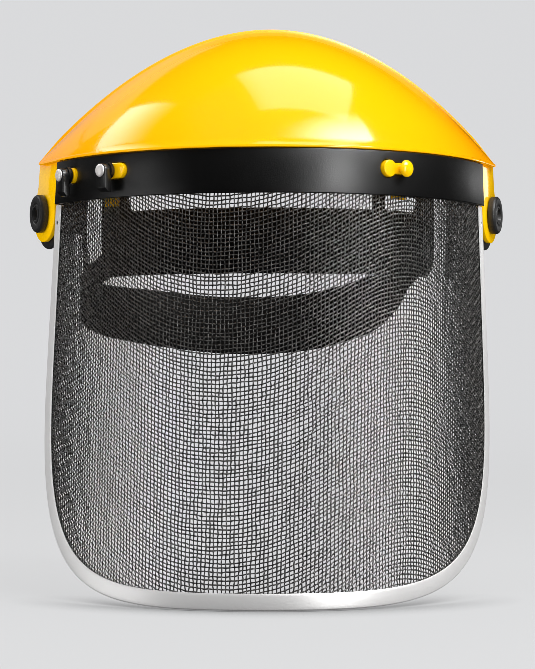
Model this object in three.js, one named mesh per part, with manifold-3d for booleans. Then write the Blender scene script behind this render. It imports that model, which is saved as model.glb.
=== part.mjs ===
// Mesh face shield: a yellow brow guard and a black band carry a curved wire screen, and tilt on a head ring.
// Millimetres, +Z up. The front faces -Y, and left is -X. The origin is the middle of the head ring, level with
// the middle of the forehead band.
import * as THREE from "three";
import { mergeVertices } from "three/addons/utils/BufferGeometryUtils.js";
import Module from "manifold-3d";

const wasm = await Module();
wasm.setup();

// ---------------------------------------------------------------------------------------- driving dimensions

// The plan curve of the visor, along which s is measured from the middle of the front.
const FRONT_Y = -126; // the band's outer face at the front
const FRONT_RADIUS = 91; // the bend at the front, which eases towards the sides
const SIDE_TURN = 1.5; // radians that the curve would turn to in the end
const BAND_HALF = 149; // half of the band's length, halfway up; the curve runs straight on from here
const END_SLANT = 1.6; // how much longer the band is at its bottom, at each end
const SCREEN_SPREAD = 0.104; // how much less the screen bends at its bottom than at the band
const SCREEN_LEAN = -2.1; // how far the screen's bottom hangs to one side

// Heights over the middle of the forehead band.
const BAND_BOTTOM = 20.7;
const BAND_TOP = 41.7;
const CATCH_Z = 33.4; // the latches, the slots and the keyhole
const PIVOT_Z = 17.3;
const TRIM_BOTTOM = -174.2;

// Layers, outwards from the band's outer face.
const BAND_THICK = 2.2;
const SCREEN_THICK = 0.8;
const SCREEN_OFF = -2.9; // the middle of the screen's thickness
const WALL_OFF = -3.7; // the outer face of the brow guard's rim wall
const WALL_THICK = 2.3;
const ARM_OFF = -1.7;
const ARM_THICK = 2.5;
const GAP = 0.3; // between pieces that touch

// Screen and trim.
const SCREEN_TOP = 29;
const EVENER = 0.16; // draws the screen's stations together towards its middle
const TRIM_HALF = 154.6; // half of the trim's length across, along the plan curve
const CORNER_LEFT = { across: 125, up: 130 };
const CORNER_RIGHT = { across: 143, up: 127.5 };
const CORNER_POWER = 3.3; // 2 is an elliptic corner, more is squarer
const TRIM_WIDTH = 8;
const TRIM_THICK = 2.4;
const TRIM_WALL = 0.5;
const TRIM_FOLD = 0.7; // the closed edge of the channel

// Brow guard.
const TIP_HALF = 172.7; // where its tips end, along the plan curve
const LIP_OUT = 0.8; // how far its lower lip stands proud of the band
const LIP_HIGH = 1.2;
const REAR_BASE = 43.7; // the height of its rear edge at the tips
const REAR_RISE = 62.1; // its rear edge over the tips
const REAR_LEAN = 38; // how far the top of the rear edge lies in front of the tips
const REAR_POWER = 1.96; // 2 is a parabola
const GUARD_THICK = 2.2;
const PROFILE_FROM = 0.35; // the part of an ellipse that the dome's profile follows, in radians
const PROFILE_TO = 1.31;
const WALL_BOTTOM = 23;
const RIB_BOTTOM = 35.5; // the rim wall past the band, over the pivots
const FLANGE_UP = 1.1;
const FLANGE_TIP_UP = 0.4;
const FLANGE_BACK = 3;

// Arms, knobs and pivots.
const PIVOT_S = 173.5;
const LOBE_R = 14.3;
const ARM_FROM = 1.2; // past the end of the band
const ARM_TO = 30; // where the arm's back edge is, from the same point
const LOBE_FRONT_R = 17.4; // the lobe runs on forwards, to just behind the trim
const DISC_R = 17.8;
const DISC_THICK = 2;
const KNOB_R = 9.6;
const KNOB_THICK = 4;
const KNOB_HOLE_R = 3.3;
const PIN_R = 2.6;
const PIN_HOLE_R = 3;
const BOSS_R = 10;

// Catches: two latches on the left, and a keyhole over a pin on the right.
const LATCH_FRONT_S = -91.2;
const LATCH_REAR_S = -127;
const SLOT_R = 4;
const SLOT_FRONT_RUN = 6.3; // between the centres of a slot's round ends
const SLOT_REAR_RUN = 0.6;
const PIN_S = 62.3;
const KEYHOLE_R = 4.35;
const KEYHOLE_NECK = 2.95; // half of the neck's height
const KEYHOLE_RUN = 7.7;
const PAD_OUT = 1.45; // the guard's pads stand this far out of the band's holes
const PAD_ROOT = WALL_OFF - 1.2;
const STEM_R = 2.3;
const HEAD_R = 4.05;
const HEAD_OFF = 4.1; // the pin head's widest ring
const COLLAR_R = 4.05;
const RIVET_R = 3.1;
const SHANK_R = 1.2;
const SHANK_HOLE_R = 1.5;
const LEVER_IN = 3.6;
const LEVER_OUT = 7.2;
const LEVER_WIDTH = 6.4;
const LEVER_DROP = 10.4;

// Head ring.
const RING_HALF = 82; // the middle of the forehead band's thickness, at the sides
const RING_FRONT = 73; // from the ring's widest point to its front
const RING_WIDEST_Y = -21;
const RING_END_Y = 4;
const FOREHEAD_THICK = 2.4;
const FOREHEAD_HALF_HIGH = 15.75;
const FOREHEAD_SIDE_TOP = 32;
const FOREHEAD_RIGHT_BOTTOM = -10; // the lower corner of the right end is cut off
const NAPE_THICK = 2;
const BRACKET_INNER_X = 83.5;
const BRACKET_OUTER_X = 94.2;
const BRACKET_THICK = 1.7;
const BRACKET_TOP = 31;
const BRACKET_BOTTOM = -15;
const BRACKET_INNER_BOTTOM = -5;
const BRACKET_WIDE = 16;

// The nape strap from the left end round the back to the right end: it hangs lower at the back, and is
// pushed a little to the left.
const NAPE = [
  { x: -84.7, y: -2, z: -9.75, high: 13.5 },
  { x: -88.5, y: 6, z: -13.25, high: 15 },
  { x: -93.3, y: 16, z: -19.5, high: 19 },
  { x: -95.5, y: 30, z: -24.5, high: 22 },
  { x: -88, y: 54, z: -29, high: 27 },
  { x: -58, y: 83, z: -33.5, high: 30.5 },
  { x: -14, y: 94, z: -37.5, high: 31.5 },
  { x: 28, y: 86, z: -35.5, high: 31.5 },
  { x: 58, y: 60, z: -27, high: 31 },
  { x: 66.5, y: 45, z: -22.5, high: 25.5 },
  { x: 71.8, y: 33, z: -16.5, high: 23 },
  { x: 75, y: 26, z: -11.5, high: 17.5 },
  { x: 80.5, y: 16, z: -5, high: 15 },
  { x: 84.7, y: 5, z: -0.5, high: 12.5 },
  { x: 84.7, y: -2, z: 0, high: 12.5 },
];

// -------------------------------------------------------------------------------------------------- materials

function finish(color, roughness, metalness = 0) {
  return new THREE.MeshStandardMaterial({ color, roughness, metalness });
}
const YELLOW = finish(0xffc60a, 0.25);
const BLACK = finish(0x1c1c1d, 0.5);
const WIRE = finish(0x232426, 0.6, 0.3);
const ALUMINIUM = finish(0xd9d9d6, 0.35, 0.9);
const RIVET_STEEL = finish(0xcfcac4, 0.35, 0.9);

// ------------------------------------------------------------------------------------------------ small tools

function spread(count, from, to) {
  return Array.from({ length: count + 1 }, (_, i) => from + ((to - from) * i) / count);
}

function mix(a, b, share) {
  return a + (b - a) * share;
}

function smooth(low, high, value) {
  return THREE.MathUtils.smoothstep(value, low, high);
}

// A manifold-3d solid of a closed three.js geometry. A mesh that comes out inside out is turned round.
function solidOf(geometry) {
  const bare = new THREE.BufferGeometry().setAttribute("position", geometry.getAttribute("position").clone());
  bare.setIndex(geometry.index);
  const merged = mergeVertices(bare, 1e-4);
  const vertProperties = merged.attributes.position.array;
  const triVerts = new Uint32Array(merged.index.array).filter((_, i, all) => {
    const [a, b, c] = [0, 1, 2].map((k) => all[i - (i % 3) + k]);
    return a !== b && b !== c && c !== a;
  });
  const solid = new wasm.Manifold(new wasm.Mesh({ numProp: 3, vertProperties, triVerts }));
  if (solid.volume() > 0) return solid;
  return new wasm.Manifold(new wasm.Mesh({ numProp: 3, vertProperties, triVerts: triVerts.reverse() }));
}

function geometryOf(solid) {
  const mesh = solid.getMesh();
  const geometry = new THREE.BufferGeometry();
  geometry.setAttribute("position", new THREE.BufferAttribute(mesh.vertProperties.slice(), 3));
  geometry.setIndex(new THREE.BufferAttribute(mesh.triVerts.slice(), 1));
  const flat = geometry.toNonIndexed();
  flat.computeVertexNormals();
  return flat;
}

// Triangles that close a ring of points, in the ring's own turning sense.
function capOf(ring) {
  const normal = new THREE.Vector3();
  ring.forEach((point, i) => {
    normal.add(new THREE.Vector3().crossVectors(point, ring[(i + 1) % ring.length]));
  });
  const level = new THREE.Quaternion().setFromUnitVectors(normal.normalize(), new THREE.Vector3(0, 0, 1));
  const flat = ring.map((point) => {
    const turned = point.clone().applyQuaternion(level);
    return new THREE.Vector2(turned.x, turned.y);
  });
  return THREE.ShapeUtils.triangulateShape(flat, []);
}

// A closed solid through rings of points: ring(station) gives the same number of points at each station.
function loft(stations, ring) {
  const rings = stations.map(ring);
  const count = rings[0].length;
  const index = [];
  for (let i = 0; i + 1 < rings.length; i++) {
    for (let j = 0; j < count; j++) {
      const a = i * count + j;
      const b = i * count + ((j + 1) % count);
      index.push(a, b, a + count);
      index.push(b, b + count, a + count);
    }
  }
  const last = (rings.length - 1) * count;
  for (const [a, b, c] of capOf(rings[0])) index.push(c, b, a);
  for (const [a, b, c] of capOf(rings.at(-1))) index.push(last + a, last + b, last + c);
  const positions = rings.flat().flatMap((point) => point.toArray());
  const geometry = new THREE.BufferGeometry();
  geometry.setAttribute("position", new THREE.Float32BufferAttribute(positions, 3));
  geometry.setIndex(index);
  return solidOf(geometry);
}

// A flat outline, extruded along its own +Z from low to high.
function plate(shape, low, high, bevel = 0) {
  const geometry = new THREE.ExtrudeGeometry(shape, {
    depth: high - low - 2 * bevel,
    bevelEnabled: bevel > 0,
    bevelSize: bevel,
    bevelOffset: -bevel,
    bevelThickness: bevel,
    bevelSegments: 1,
    curveSegments: 8,
  });
  geometry.translate(0, 0, low + bevel);
  return solidOf(geometry);
}

// A turned solid about its own +Z: the profile is a list of [radius, height].
function turned(profile, sides = 28) {
  const points = profile.map(([radius, height]) => new THREE.Vector2(radius, height));
  const geometry = new THREE.LatheGeometry([...points, points[0]], sides);
  geometry.rotateX(Math.PI / 2);
  return solidOf(geometry);
}

function rod(radius, low, high, sides = 24) {
  return turned([[0, low], [radius, low], [radius, high], [0, high]], sides);
}

function placed(solid, matrix) {
  return solid.transform(matrix.toArray());
}

function mirrored(solid) {
  return solid.mirror([1, 0, 0]);
}

function piece(name, solid, material) {
  const mesh = new THREE.Mesh(geometryOf(solid), material);
  mesh.name = name;
  return mesh;
}

// --------------------------------------------------------------------------------------- the visor's surface

function turnAt(s) {
  return SIDE_TURN * Math.tanh(s / (FRONT_RADIUS * SIDE_TURN));
}

// The plan curve at s: its point and its direction. bow scales the bend.
function plan(s, bow = 1) {
  const reach = Math.min(Math.abs(s), BAND_HALF);
  const side = s < 0 ? -1 : 1;
  const steps = 60;
  const step = reach / steps;
  let x = 0;
  let y = 0;
  for (let i = 0; i < steps; i++) {
    const turn = bow * turnAt((i + 0.5) * step);
    x += Math.cos(turn) * step;
    y += Math.sin(turn) * step;
  }
  const turn = bow * turnAt(reach);
  const past = Math.abs(s) - reach;
  x += Math.cos(turn) * past;
  y += Math.sin(turn) * past;
  return { x: side * x, y: FRONT_Y + y, turn: side * turn };
}

// A point on the visor: s along the plan curve, off outwards from the band's face, at height z.
function onVisor(s, off, z, bow = 1) {
  const at = plan(s, bow);
  return new THREE.Vector3(at.x + Math.sin(at.turn) * off, at.y - Math.cos(at.turn) * off, z);
}

// A frame on the visor with X along the plan curve, Y up and Z outwards from the band's face.
function visorFrame(s, z) {
  const at = plan(s);
  const along = new THREE.Vector3(Math.cos(at.turn), Math.sin(at.turn), 0);
  const out = new THREE.Vector3(Math.sin(at.turn), -Math.cos(at.turn), 0);
  const up = new THREE.Vector3(0, 0, 1);
  return new THREE.Matrix4().makeBasis(along, up, out).setPosition(at.x, at.y, z);
}

// A closed outline of rounded corners between two offsets and two heights, as [off, z].
function bar(offLow, offHigh, zLow, zHigh, round) {
  return [
    [offLow, zLow + round],
    [offLow + round, zLow],
    [offHigh - round, zLow],
    [offHigh, zLow + round],
    [offHigh, zHigh - round],
    [offHigh - round, zHigh],
    [offLow + round, zHigh],
    [offLow, zHigh - round],
  ];
}

function stadium(radius, from, to) {
  const shape = new THREE.Shape();
  shape.absarc(to, 0, radius, -Math.PI / 2, Math.PI / 2, false);
  shape.absarc(from, 0, radius, Math.PI / 2, -Math.PI / 2, false);
  return shape;
}

// ------------------------------------------------------------------------------------------------- visor band

// A round entry and a narrower neck, smaller all round by the inset.
function keyhole(inset, low, high) {
  const half = KEYHOLE_NECK - inset;
  const neck = new THREE.Shape([
    new THREE.Vector2(-KEYHOLE_RUN, -half),
    new THREE.Vector2(0, -half),
    new THREE.Vector2(0, half),
    new THREE.Vector2(-KEYHOLE_RUN, half),
  ]);
  const entry = rod(KEYHOLE_R - inset, low, high, 32).translate([-KEYHOLE_RUN, 0, 0]);
  return placed(entry.add(rod(half, low, high)).add(plate(neck, low, high)), visorFrame(PIN_S, CATCH_Z));
}

function visorBand() {
  const outline = bar(-BAND_THICK, 0, BAND_BOTTOM, BAND_TOP, 0.5);
  const middle = (BAND_BOTTOM + BAND_TOP) / 2;
  const longer = (z) => 1 + ((END_SLANT / BAND_HALF) * (middle - z)) / (middle - BAND_BOTTOM);
  const stations = spread(44, -BAND_HALF, BAND_HALF);
  const band = loft(stations, (s) => outline.map(([off, z]) => onVisor(s * longer(z), off, z)));
  const low = -BAND_THICK - 2;
  const frontSlot = plate(stadium(SLOT_R, 0, SLOT_FRONT_RUN), low, 2);
  const rearSlot = plate(stadium(SLOT_R, 0, SLOT_REAR_RUN), low, 2);
  return band
    .subtract(placed(frontSlot, visorFrame(LATCH_FRONT_S, CATCH_Z)))
    .subtract(placed(rearSlot, visorFrame(LATCH_REAR_S, CATCH_Z)))
    .subtract(keyhole(0, low, 2));
}

// ------------------------------------------------------------------------------------------ screen and trim

function onScreen(s, off, z) {
  const down = Math.max(0, (BAND_BOTTOM - z) / (BAND_BOTTOM - TRIM_BOTTOM));
  return onVisor(s, off, z, 1 - SCREEN_SPREAD * down).add(new THREE.Vector3(SCREEN_LEAN * down, 0, 0));
}

// The height of the screen's rounded lower outline at s, for an outline inset from the trim's own.
function outlineZ(s, inset) {
  const { across, up } = s < 0 ? CORNER_LEFT : CORNER_RIGHT;
  const bottom = TRIM_BOTTOM + inset;
  const share = (Math.abs(s) - (TRIM_HALF - inset - across)) / across;
  if (share <= 0) return bottom;
  const fall = (1 - Math.min(share, 1) ** CORNER_POWER) ** (1 / CORNER_POWER);
  return bottom + up * (1 - fall);
}

function meshScreen() {
  const inset = TRIM_FOLD + 2 * GAP;
  const half = TRIM_HALF - inset;
  const angles = spread(48, -Math.PI / 2, Math.PI / 2);
  const stations = angles.map((a) => half * Math.sin(a) * (1 - EVENER * Math.cos(a) ** 2));
  return loft(stations, (s) => {
    const high = mix(SCREEN_TOP, BAND_BOTTOM - GAP, smooth(BAND_HALF - 5, BAND_HALF - 3, Math.abs(s)));
    const rows = [...spread(3, outlineZ(s, inset), BAND_BOTTOM - 1), high];
    const outer = rows.map((z) => onScreen(s, SCREEN_OFF + SCREEN_THICK / 2, z));
    const inner = rows.map((z) => onScreen(s, SCREEN_OFF - SCREEN_THICK / 2, z));
    return [...outer, ...inner.reverse()];
  });
}

// One side of the trim's outer edge, from the middle of the bottom to the top, as points (s, z).
function trimSide({ across, up }) {
  const flat = TRIM_HALF - across;
  const bend = spread(24, 0, Math.PI / 2).slice(1).map((a) => ({
    s: flat + across * Math.sin(a) ** (2 / CORNER_POWER),
    z: TRIM_BOTTOM + up * (1 - Math.cos(a) ** (2 / CORNER_POWER)),
  }));
  const bottom = spread(6, 0, bend[0].s).slice(0, -1).map((s) => ({
    s,
    z: TRIM_BOTTOM + up * (1 - (1 - (Math.max(0, s - flat) / across) ** CORNER_POWER) ** (1 / CORNER_POWER)),
  }));
  const top = spread(3, TRIM_BOTTOM + up, BAND_BOTTOM - GAP).slice(1);
  return [...bottom, ...bend, ...top.map((z) => ({ s: TRIM_HALF, z }))];
}

// The trim's outer edge from the left top, round the bottom, to the right top.
function trimPath() {
  const left = trimSide(CORNER_LEFT).map(({ s, z }) => ({ s: -s, z }));
  return [...left.reverse(), ...trimSide(CORNER_RIGHT).slice(1)];
}

function edgeTrim() {
  const path = trimPath();
  const half = TRIM_THICK / 2;
  const slot = half - TRIM_WALL;
  const channel = [
    [0, 0.4 - half],
    [0, half - 0.4],
    [0.4, half],
    [TRIM_WIDTH, half],
    [TRIM_WIDTH, slot],
    [TRIM_FOLD, slot],
    [TRIM_FOLD, -slot],
    [TRIM_WIDTH, -slot],
    [TRIM_WIDTH, -half],
    [0.4, -half],
  ];
  return loft([...path.keys()], (i) => {
    const before = path[Math.max(i - 1, 0)];
    const after = path[Math.min(i + 1, path.length - 1)];
    const along = new THREE.Vector2(after.s - before.s, after.z - before.z).normalize();
    return channel.map(([inwards, off]) =>
      onScreen(path[i].s - along.y * inwards, SCREEN_OFF + off, path[i].z + along.x * inwards),
    );
  });
}

// ------------------------------------------------------------------------------------------------ brow guard

const TIP = plan(TIP_HALF);
const LIP_BOTTOM = BAND_TOP + GAP;
const LIP_TOP = LIP_BOTTOM + LIP_HIGH;

// A point of the dome's rear edge, and the direction that faces out of the arch there.
function rearEdge(s) {
  const share = plan(s).x / TIP.x;
  const rise = 1 - Math.abs(share) ** REAR_POWER;
  const slope = (REAR_RISE * REAR_POWER * Math.abs(share) ** (REAR_POWER - 1)) / TIP.x;
  return {
    point: new THREE.Vector3(share * TIP.x, TIP.y + 2 - REAR_LEAN * rise, REAR_BASE + REAR_RISE * rise),
    out: new THREE.Vector3(Math.sign(share) * slope, 0, 1).normalize(),
  };
}

// The dome's profile from a point of its front edge to one of its rear edge.
function domeProfile(front, rear, count) {
  return spread(count, PROFILE_FROM, PROFILE_TO).map((a) => {
    const back = (Math.cos(PROFILE_FROM) - Math.cos(a)) / (Math.cos(PROFILE_FROM) - Math.cos(PROFILE_TO));
    const up = (Math.sin(a) - Math.sin(PROFILE_FROM)) / (Math.sin(PROFILE_TO) - Math.sin(PROFILE_FROM));
    return new THREE.Vector3(mix(front.x, rear.x, back), mix(front.y, rear.y, back), mix(front.z, rear.z, up));
  });
}

function guardRing(s) {
  const { point: rear, out } = rearEdge(s);
  const wallBottom = mix(WALL_BOTTOM, RIB_BOTTOM, smooth(BAND_HALF + 0.5, BAND_HALF + 3.5, Math.abs(s)));
  const wallInner = WALL_OFF - WALL_THICK;
  const outer = domeProfile(onVisor(s, LIP_OUT - 0.5, LIP_TOP + 0.3), rear, 8);
  const inner = domeProfile(onVisor(s, wallInner, LIP_TOP), rear.clone().addScaledVector(out, -GUARD_THICK), 5);
  const back = new THREE.Vector3(0, 1, 0);
  const up = mix(FLANGE_UP, FLANGE_TIP_UP, smooth(0.8, 1, Math.abs(s) / TIP_HALF));
  const flange = [
    rear.clone().addScaledVector(out, up).addScaledVector(back, 0.5),
    rear.clone().addScaledVector(out, up).addScaledVector(back, FLANGE_BACK),
    rear.clone().addScaledVector(out, -GUARD_THICK * 0.8).addScaledVector(back, FLANGE_BACK + 0.4),
  ];
  return [
    onVisor(s, LIP_OUT, LIP_BOTTOM),
    onVisor(s, LIP_OUT, LIP_TOP),
    ...outer,
    ...flange,
    ...inner.reverse(),
    onVisor(s, wallInner, wallBottom),
    onVisor(s, WALL_OFF, wallBottom),
    onVisor(s, WALL_OFF, LIP_BOTTOM),
  ];
}

// The right arm, drawn on the straight past the band's end: a plate that widens into a round lobe.
function arm() {
  const across = PIVOT_S - BAND_HALF;
  const shape = new THREE.Shape();
  shape.moveTo(ARM_FROM - END_SLANT, LIP_TOP);
  shape.lineTo(ARM_FROM + END_SLANT, BAND_BOTTOM + 3.3);
  shape.lineTo(across - LOBE_FRONT_R, BAND_BOTTOM + 1.5);
  shape.absellipse(across, PIVOT_Z, LOBE_FRONT_R, LOBE_R, Math.PI, Math.PI * 1.5, false, 0);
  shape.absarc(across, PIVOT_Z, LOBE_R, Math.PI * 1.5, Math.PI * 2, false);
  shape.lineTo(ARM_TO + 1.5, PIVOT_Z + 14);
  shape.lineTo(ARM_TO - 1, LIP_TOP);
  return placed(plate(shape, ARM_OFF - ARM_THICK, ARM_OFF, 0.4), visorFrame(BAND_HALF, 0));
}

// The mushroom pin, from inside the rim wall to its domed head.
function mushroom() {
  const dome = spread(4, 0, Math.PI / 2).map((a) => [HEAD_R * Math.cos(a), HEAD_OFF + 2.1 * Math.sin(a)]);
  const profile = [[0, PAD_ROOT], [STEM_R, PAD_ROOT], [STEM_R, HEAD_OFF - 1.2], [HEAD_R - 0.4, HEAD_OFF - 0.6], ...dome];
  return placed(turned(profile, 20), visorFrame(PIN_S, CATCH_Z));
}

// A pad of the rim wall that fills one of the band's slots.
function slotPad(s, run) {
  return placed(plate(stadium(SLOT_R - GAP, 0, run), PAD_ROOT, PAD_OUT, 0.4), visorFrame(s, CATCH_Z));
}

function shankHole(s) {
  return placed(rod(SHANK_HOLE_R, WALL_OFF - WALL_THICK - 2, PAD_OUT + 2, 16), visorFrame(s, CATCH_Z));
}

// Short tabs of the rim wall that show below the band, behind the front latch and the keyhole.
function tab(s, halfWide) {
  const shape = new THREE.Shape([
    new THREE.Vector2(-halfWide, WALL_BOTTOM - 6.5),
    new THREE.Vector2(halfWide, WALL_BOTTOM - 6.5),
    new THREE.Vector2(halfWide, WALL_BOTTOM + 2),
    new THREE.Vector2(-halfWide, WALL_BOTTOM + 2),
  ]);
  return placed(plate(shape, WALL_OFF - WALL_THICK + 0.2, WALL_OFF - 0.3), visorFrame(s, 0));
}

// The pivot axis runs along X through the middle of the lobe.
const PIVOT = onVisor(PIVOT_S, ARM_OFF - ARM_THICK / 2, PIVOT_Z);
const ALONG_X = new THREE.Matrix4().makeRotationY(Math.PI / 2).setPosition(0, PIVOT.y, PIVOT.z);

function pivotHole(radius) {
  return placed(rod(radius, PIVOT.x - 20, PIVOT.x + 20), ALONG_X);
}

function browGuard() {
  const arms = arm().subtract(pivotHole(PIN_HOLE_R));
  const stations = spread(36, -TIP_HALF, TIP_HALF);
  return loft(stations, guardRing)
    .add(arms)
    .add(mirrored(arms))
    .add(keyhole(GAP, PAD_ROOT, PAD_OUT))
    .add(mushroom())
    .add(slotPad(LATCH_FRONT_S, SLOT_FRONT_RUN))
    .add(slotPad(LATCH_REAR_S, SLOT_REAR_RUN))
    .add(tab(LATCH_FRONT_S - 6, 5))
    .add(tab(PIN_S - 2, 4.5))
    .subtract(shankHole(LATCH_FRONT_S))
    .subtract(shankHole(LATCH_REAR_S));
}

// ------------------------------------------------------------------------------------------ knobs and discs

// The friction disc lies behind the right lobe, parallel to it.
function pivotDisc() {
  const top = ARM_OFF - ARM_THICK - GAP;
  const low = top - DISC_THICK;
  const profile = [[0, low], [DISC_R - 0.6, low], [DISC_R, low + 0.6], [DISC_R, top - 0.6], [DISC_R - 0.6, top], [0, top]];
  return placed(turned(profile, 30), visorFrame(PIVOT_S, PIVOT_Z)).subtract(pivotHole(PIN_HOLE_R));
}

// The knob lies on the lobe's outer face: a disc with a round edge and a raised ring round its hole.
function pivotKnob() {
  const low = ARM_OFF + GAP;
  const top = low + KNOB_THICK;
  const profile = [
    [0, low],
    [KNOB_R - 0.8, low],
    [KNOB_R, low + 0.9],
    [KNOB_R, top - 1.3],
    [KNOB_R - 0.5, top - 0.4],
    [KNOB_R - 1.6, top],
    [KNOB_HOLE_R + 1.9, top - 0.6],
    [KNOB_HOLE_R + 1.3, top - 0.1],
    [KNOB_HOLE_R + 0.4, top - 0.1],
    [0, top - 0.4],
  ];
  return placed(turned(profile, 24), visorFrame(PIVOT_S, PIVOT_Z)).subtract(pivotHole(KNOB_HOLE_R));
}

// ---------------------------------------------------------------------------------------------------- latches

// A turn lever: a collar that turns on the guard's pad, and a lever that hangs down.
function latch(s) {
  const half = LEVER_WIDTH / 2;
  const front = new THREE.Shape();
  front.absarc(0, 0, half + 0.1, 0, Math.PI, false);
  front.lineTo(-half, -LEVER_DROP);
  front.lineTo(half, -LEVER_DROP);
  const side = new THREE.Shape([
    new THREE.Vector2(LEVER_IN, half + 1),
    new THREE.Vector2(LEVER_IN, -5.2),
    new THREE.Vector2(LEVER_IN - 0.4, -5.8),
    new THREE.Vector2(LEVER_IN - 0.4, -LEVER_DROP),
    new THREE.Vector2(LEVER_OUT - 2.1, -LEVER_DROP),
    new THREE.Vector2(LEVER_OUT, -LEVER_DROP + 2.1),
    new THREE.Vector2(LEVER_OUT, half + 1),
  ]);
  const outline = plate(front, 0, LEVER_OUT, 0.35);
  const profile = plate(side, -half - 1, half + 1).transform(
    new THREE.Matrix4().makeBasis(
      new THREE.Vector3(0, 0, 1),
      new THREE.Vector3(0, 1, 0),
      new THREE.Vector3(-1, 0, 0),
    ).toArray(),
  );
  const lever = outline
    .intersect(profile)
    .add(rod(COLLAR_R, PAD_OUT + GAP, LEVER_IN + 0.2))
    .subtract(rod(SHANK_HOLE_R, 0, LEVER_OUT + 1, 16));
  return placed(lever, visorFrame(s, CATCH_Z));
}

// The rivet holds the latch to the rim wall: a domed head, a shank and a tail inside.
function rivet(s) {
  const tail = WALL_OFF - WALL_THICK - GAP;
  const seat = LEVER_OUT + 0.2;
  const dome = spread(4, 0, Math.PI / 2).map((a) => [RIVET_R * Math.cos(a), seat + 0.5 + 1.1 * Math.sin(a)]);
  const profile = [
    [0, tail - 0.9],
    [2.2, tail - 0.9],
    [2.4, tail],
    [SHANK_R, tail],
    [SHANK_R, seat],
    [RIVET_R, seat],
    ...dome,
  ];
  return placed(turned(profile, 14), visorFrame(s, CATCH_Z));
}

// -------------------------------------------------------------------------------------------------- head ring

// The forehead band's path from the left end, round the front, to the right end, with its outward direction.
function foreheadPath() {
  const front = spread(28, -Math.PI / 2, Math.PI / 2).map((a) => ({
    x: RING_HALF * Math.sin(a),
    y: RING_WIDEST_Y - RING_FRONT * Math.cos(a),
    out: new THREE.Vector3(RING_FRONT * Math.sin(a), -RING_HALF * Math.cos(a), 0).normalize(),
  }));
  const end = (side) => ({ x: side * RING_HALF, y: RING_END_Y, out: new THREE.Vector3(side, 0, 0) });
  return [end(-1), ...front, end(1)];
}

function foreheadBand() {
  const half = FOREHEAD_THICK / 2;
  const band = loft(foreheadPath(), ({ x, y, out }) => {
    const raised = smooth(70, 74, Math.abs(x));
    const top = mix(FOREHEAD_HALF_HIGH, FOREHEAD_SIDE_TOP, raised);
    const bottom = mix(-FOREHEAD_HALF_HIGH, FOREHEAD_RIGHT_BOTTOM, smooth(76, RING_HALF, x));
    return bar(-half, half, bottom, top, 0.6).map(([off, z]) =>
      new THREE.Vector3(x, y, z).addScaledVector(out, off),
    );
  });
  const angle = Math.asin(50 / RING_HALF);
  const upright = new THREE.BoxGeometry(7.3, FOREHEAD_THICK - 0.4, 16);
  upright.rotateZ(Math.atan2(RING_FRONT * Math.sin(angle), RING_HALF * Math.cos(angle)));
  upright.translate(RING_HALF * Math.sin(angle), RING_WIDEST_Y - RING_FRONT * Math.cos(angle), FOREHEAD_HALF_HIGH + 6);
  return band.add(solidOf(upright));
}

function napeStrap() {
  const route = new THREE.CatmullRomCurve3(NAPE.map(({ x, y, z }) => new THREE.Vector3(x, y, z)));
  const last = NAPE.length - 1;
  const half = NAPE_THICK / 2;
  return loft(spread(38, 0, 1), (share) => {
    const middle = route.getPoint(share);
    const along = route.getTangent(share);
    const out = new THREE.Vector3(-along.y, along.x, 0).normalize();
    const row = Math.min(Math.floor(share * last), last - 1);
    const high = mix(NAPE[row].high, NAPE[row + 1].high, share * last - row) / 2;
    return bar(-half, half, -high, high, 0.5).map(([off, z]) =>
      new THREE.Vector3(middle.x, middle.y, middle.z + z).addScaledVector(out, off),
    );
  });
}

// The right bracket: a hook that hangs on the outside of the ring, and its boss and pin on the pivot axis.
function sideBracket() {
  const shape = new THREE.Shape();
  const round = 3;
  shape.moveTo(BRACKET_INNER_X, BRACKET_INNER_BOTTOM);
  shape.lineTo(BRACKET_INNER_X + BRACKET_THICK, BRACKET_INNER_BOTTOM);
  shape.lineTo(BRACKET_INNER_X + BRACKET_THICK, BRACKET_TOP - BRACKET_THICK);
  shape.lineTo(BRACKET_OUTER_X - BRACKET_THICK, BRACKET_TOP - BRACKET_THICK);
  shape.lineTo(BRACKET_OUTER_X - BRACKET_THICK, BRACKET_BOTTOM);
  shape.lineTo(BRACKET_OUTER_X, BRACKET_BOTTOM);
  shape.lineTo(BRACKET_OUTER_X, BRACKET_TOP - round);
  shape.quadraticCurveTo(BRACKET_OUTER_X, BRACKET_TOP, BRACKET_OUTER_X - round, BRACKET_TOP);
  shape.lineTo(BRACKET_INNER_X + round, BRACKET_TOP);
  shape.quadraticCurveTo(BRACKET_INNER_X, BRACKET_TOP, BRACKET_INNER_X, BRACKET_TOP - round);
  const upright = new THREE.Matrix4().makeRotationX(Math.PI / 2).setPosition(0, PIVOT.y, 0);
  const hook = placed(plate(shape, -BRACKET_WIDE / 2, BRACKET_WIDE / 2, 0.4), upright);

  // The disc behind the lobe leans out of the square, so the boss ends in a cone that clears it as it turns.
  const { turn } = plan(PIVOT_S);
  const lean = 1.04 / Math.tan(turn);
  const discFace = PIVOT.x - (DISC_THICK + GAP + ARM_THICK / 2) / Math.sin(turn) - 0.4;
  const root = BRACKET_OUTER_X - 1;
  const boss = turned([
    [0, root],
    [BOSS_R, root],
    [BOSS_R, discFace - BOSS_R * lean],
    [PIN_R, discFace - PIN_R * lean],
    [PIN_R, PIVOT.x + 2],
    [0, PIVOT.x + 2],
  ]);
  return hook.add(placed(boss, ALONG_X));
}

// --------------------------------------------------------------------------------------------------- assembly

const shield = new THREE.Group();

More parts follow.
